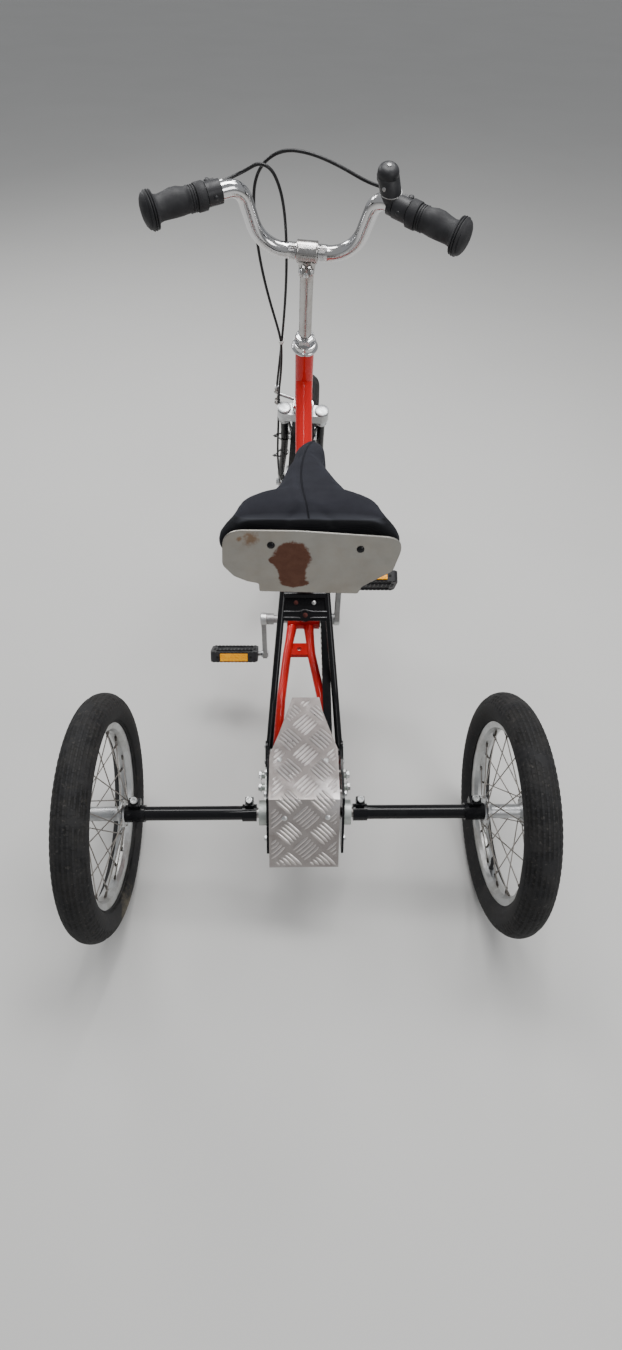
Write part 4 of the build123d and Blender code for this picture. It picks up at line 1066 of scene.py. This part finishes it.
@piece("steering", "grip_rubber", grip_rubber, smooth=50)
def grip_covers(bm):
    for side in (-1, 1):
        end, back, front = bar_way(side)
        rings = []
        for along, radius in GRIP:
            ring = []
            for a in angles(56 if radius else 1):
                swell = 3.4 * hump(along - 40, 15) * max(0.0, math.cos(a - 1.2)) ** 2
                swell += 0.6 * hump(along - 38, 20) * (abs(along % 4.8 - 2.4) < 1)
                out = front * math.cos(a) + UP * math.sin(a)
                ring.append(bm.verts.new(end + back * along + out * (radius and radius + swell)))
            rings.append(ring)
        bridge(bm, rings)
        lathe(bm, end + back * 70, back, [(0, 11.3), (0, 17.4), (0.8, 18), (13, 18), (13.9, 17.2), (14, 11.3)], 48)


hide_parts("grips")


@piece("steering", "black_plastic", black_plastic)
def lever_bolts(bm):
    for side in (-1, 1):
        end, back, front = bar_way(side)
        hold = end + back * 96
        dome_head(bm, hold + front * 24 + UP * 3.2, UP, 4.2, 2)
        hex_head(bm, hold + front * 24 - UP * 11.2, -UP, 3.6, 2.6, 0.8)
        dome_head(bm, hold - front * 14.6 + UP * 2, -front, 3.6, 2)
    # The last side is the right one, with the bell
    dome_head(bm, end + back * BELL_SEAT - front * 13.4, -front, 3.6, 1.8)


BELL = steer_mm(108, -2, 463)


def bell_middle(share):
    """The barrel's middle line, from the bar to the dome"""
    end, back, _ = bar_way(1)
    return (end + back * BELL_SEAT).lerp(BELL + UP * 5.6, share)


@piece("steering", "black_plastic", black_plastic)
def bell_barrel(bm):
    """The black barrel that leans from its seat on the bar up to the dome"""
    stations = ((0, 11.5), (0.22, 13.8), (0.36, 15.3), (0.98, 15.8), (1, 15.2))
    bridge(bm, [circle(bm, bell_middle(share), ACROSS, AHEAD, radius, 48) for share, radius in stations], capped=True)


@piece("steering", "bare_steel", crank_grey)
def bell_ring(bm):
    """A thin seam ring, a stud in the barrel and the dome's button"""
    lathe(bm, bell_middle(0.42), UP, [(0, 15), (0, 15.8), (1, 15.8), (1, 15)], 48)
    out = (ACROSS * -0.45 - AHEAD * 0.89).normalized()
    dome_head(bm, bell_middle(0.72) + out * 15.4, out, 2.8, 1.6)
    lathe(bm, BELL + UP * 17.6, UP, [(0, 0), (0, 3.2), (1.2, 2.9), (1.6, 0)], 20)


# Cranks and pedals
def crank_end(side, x):
    """A point on the line of a crank arm's pedal pin"""
    return mm(side * x, CRANK_AHEAD + side * CRANK_LENGTH * math.cos(CRANK_RISE),
              CRANK_HEIGHT + side * CRANK_LENGTH * math.sin(CRANK_RISE))


@piece("crankset", "alloy", alloy)
def crank_details(bm):
    """Caps on the hubs, and both ends of each pedal pin"""
    for side, plane in CRANK_SIDES:
        out = SIDEWAYS * side
        lathe(bm, mm(side * (plane + 4.9), CRANK_AHEAD, CRANK_HEIGHT), out,
              [(-0.2, 0), (-0.2, 9.4), (0.9, 9.2), (1.4, 8.4), (1.4, 6.4), (-0.2, 5.8), (-0.2, 0)])
        lathe(bm, crank_end(side, plane - 4.5), -out,
              [(-0.2, 0), (-0.2, 7.2), (1.8, 7.2), (2.6, 6.2), (2.6, 3.4), (1.6, 3), (1.6, 0)], 28)
        lathe(bm, crank_end(side, plane + 4.5), out,
              [(-0.2, 4.6), (-0.2, 7.6), (1.6, 7.6), (2.2, 6.6), (3.6, 6.2), (3.8, 4.6)], 28)


@piece("crankset", "bare_steel", bolt_zinc)
def crank_hubs(bm):
    """A bright round hub at the root of each crank arm"""
    for side, plane in CRANK_SIDES:
        lathe(bm, mm(side * (plane - 5.6), CRANK_AHEAD, CRANK_HEIGHT), SIDEWAYS * side,
              [(0, 10.5), (0, 12.2), (0.6, 12.8), (10.3, 12.8), (11, 12.1), (11, 9)], 40)


# Ribs on both treads of each pedal, and screws at its ends
for (side, plane), word, gap, tilt in zip(CRANK_SIDES, ("left", "right"), (10, 5.2), (33, 60)):
    middle = crank_end(side, plane + 4.5 + gap + 48.5)
    tilt = math.radians(tilt)
    nose = Vector((0, math.cos(tilt), -math.sin(tilt)))
    tread = Vector((0, math.sin(tilt), math.cos(tilt)))

    @piece("pedal_" + word, "black_plastic", black_plastic, "_" + word, bevel=0.3)
    def pedal_ribs(bm):
        for face in (-1, 1):
            for row in (-25.2, -6, 0, 6, 25.2):
                for k in range(12):
                    corners = [middle + SIDEWAYS * (-41.25 + 7.5 * k + a) + nose * (row + b) + tread * face * 10.1
                               for a, b in ((-2.6, -1.6), (2.6, -1.6), (2.6, 1.6), (-2.6, 1.6))]
                    slab(bm, corners, 1.3, tread * face)

    # The screws are near-black discs, painted shade in their recesses
    @piece("pedal_" + word, "black_plastic", recess_shade, "_" + word)
    def pedal_screws(bm):
        for face in (-1, 1):
            for x in (-34, 34):
                base = middle + SIDEWAYS * x + nose * face * 28
                lathe(bm, base, nose * face, [(-0.1, 0), (-0.1, 2.6), (0.5, 2.4), (0.5, 0)], 16)


# Chain: links along the CAD band, round both sprockets
CHAIN_PITCH = 12.7
HALF_LINK = [(-0.14, 1.9), (0.05, 2.6), (0.3, 1.9), (0.7, 1.9), (0.95, 2.6), (1.14, 1.9)]
LINK = [(-0.22, 0), *HALF_LINK, (1.22, 0), *((along, -aside) for along, aside in reversed(HALF_LINK))]


def chain_marks():
    """Where the chain's pins are, ahead of the rear axle and up"""
    front, back = Vector((CRANK_AHEAD, CRANK_HEIGHT)), Vector((0, AXLE_HEIGHT))
    front_radius, back_radius, steps = 55.2, 33.2, 200
    away = front - back
    tilt = math.atan2(away.y, away.x)
    lean_in = math.acos((front_radius - back_radius) / away.length)
    points = []
    for middle, radius, start, turn in ((front, front_radius, tilt - lean_in, 2 * lean_in),
                                        (back, back_radius, tilt + lean_in, 2 * math.pi - 2 * lean_in)):
        for k in range(steps):
            a = start + turn * k / (steps - 1)
            points.append(middle + Vector((math.cos(a), math.sin(a))) * radius)
    points.append(points[0])
    lengths = [0.0]
    for first, second in zip(points, points[1:]):
        lengths.append(lengths[-1] + (second - first).length)
    count = int(lengths[-1] / CHAIN_PITCH / 2) * 2
    marks, n = [], 0
    for k in range(count):
        want = lengths[-1] * k / count
        while lengths[n + 1] < want:
            n += 1
        share = (want - lengths[n]) / max(1e-6, lengths[n + 1] - lengths[n])
        marks.append(points[n].lerp(points[n + 1], share))
    return marks


@piece("frame", "bare_steel", chain_steel, smooth=30)
def chain_links(bm):
    marks = chain_marks()
    for k, mark in enumerate(marks):
        link = marks[(k + 1) % len(marks)] - mark
        side_way = Vector((-link.y, link.x)).normalized()
        inner = k % 2
        shape = [mark + link * along * (1 if inner else 0.99) + side_way * aside for along, aside in LINK]
        for offset in ((-2, 2) if inner else (-3.1, 3.1)):
            slab(bm, [mm(39.15 + offset, *point) for point in shape], 0.7, SIDEWAYS)
        lathe(bm, mm(36.2, *mark), SIDEWAYS,
              [(0, 0), (0, 1.2), (1.6, 1.2), (1.6, 2.3), (5, 2.3), (5, 1.2), (6.6, 1.2), (6.6, 0)], 8)


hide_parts("chain")


@piece("crankset", "alloy", bolt_zinc)
def ring_bolts(bm):
    """The chainring's bolts"""
    for a in angles(5):
        place = mm(41.1, CRANK_AHEAD + 38 * math.cos(a), CRANK_HEIGHT + 38 * math.sin(a))
        hex_head(bm, place, SIDEWAYS, 3.6, 2, 0.6)


# Floor and lights
bpy.ops.mesh.primitive_plane_add(size=80, location=(0, 0, 0))
floor = bpy.context.object
floor.name = "floor"
floor_look = Look("floor_pale", (0.56, 0.555, 0.54), 0.75)
floor_look.tint(floor_look.cloud(1.4, 4, 0.55, 0.35, 0.7, 0, 0.25), (0.49, 0.485, 0.47))
floor.data.materials.append(floor_look.done())


def light(name, place, target, size, power):
    data = bpy.data.lights.new(name, "AREA")
    data.shape = "RECTANGLE"
    data.size, data.size_y = size
    data.energy = power
    lamp = put(name, data)
    lamp.location = place
    lamp.rotation_euler = (Vector(target) - Vector(place)).to_track_quat("-Z", "Y").to_euler()


light("ceiling", (0.2, 0.6, 3.2), (0, -0.1, 0), (2.6, 0.9), 96)
light("tube", (0.06, 0.1, 2.3), (0, -0.1, 0.3), (0.09, 2.6), 16)
light("front_left", (-1.8, 1.9, 2.2), (0, 0, 0.4), (1.4, 0.5), 30)
light("back_right", (1.7, -1.9, 1.9), (0, -0.2, 0.3), (1.2, 1.2), 24)
world = bpy.data.worlds.new("studio")
world.use_nodes = True
world.node_tree.nodes["Background"].inputs["Color"].default_value = (0.9, 0.92, 0.95, 1)
world.node_tree.nodes["Background"].inputs["Strength"].default_value = 0.42
bpy.context.scene.world = world
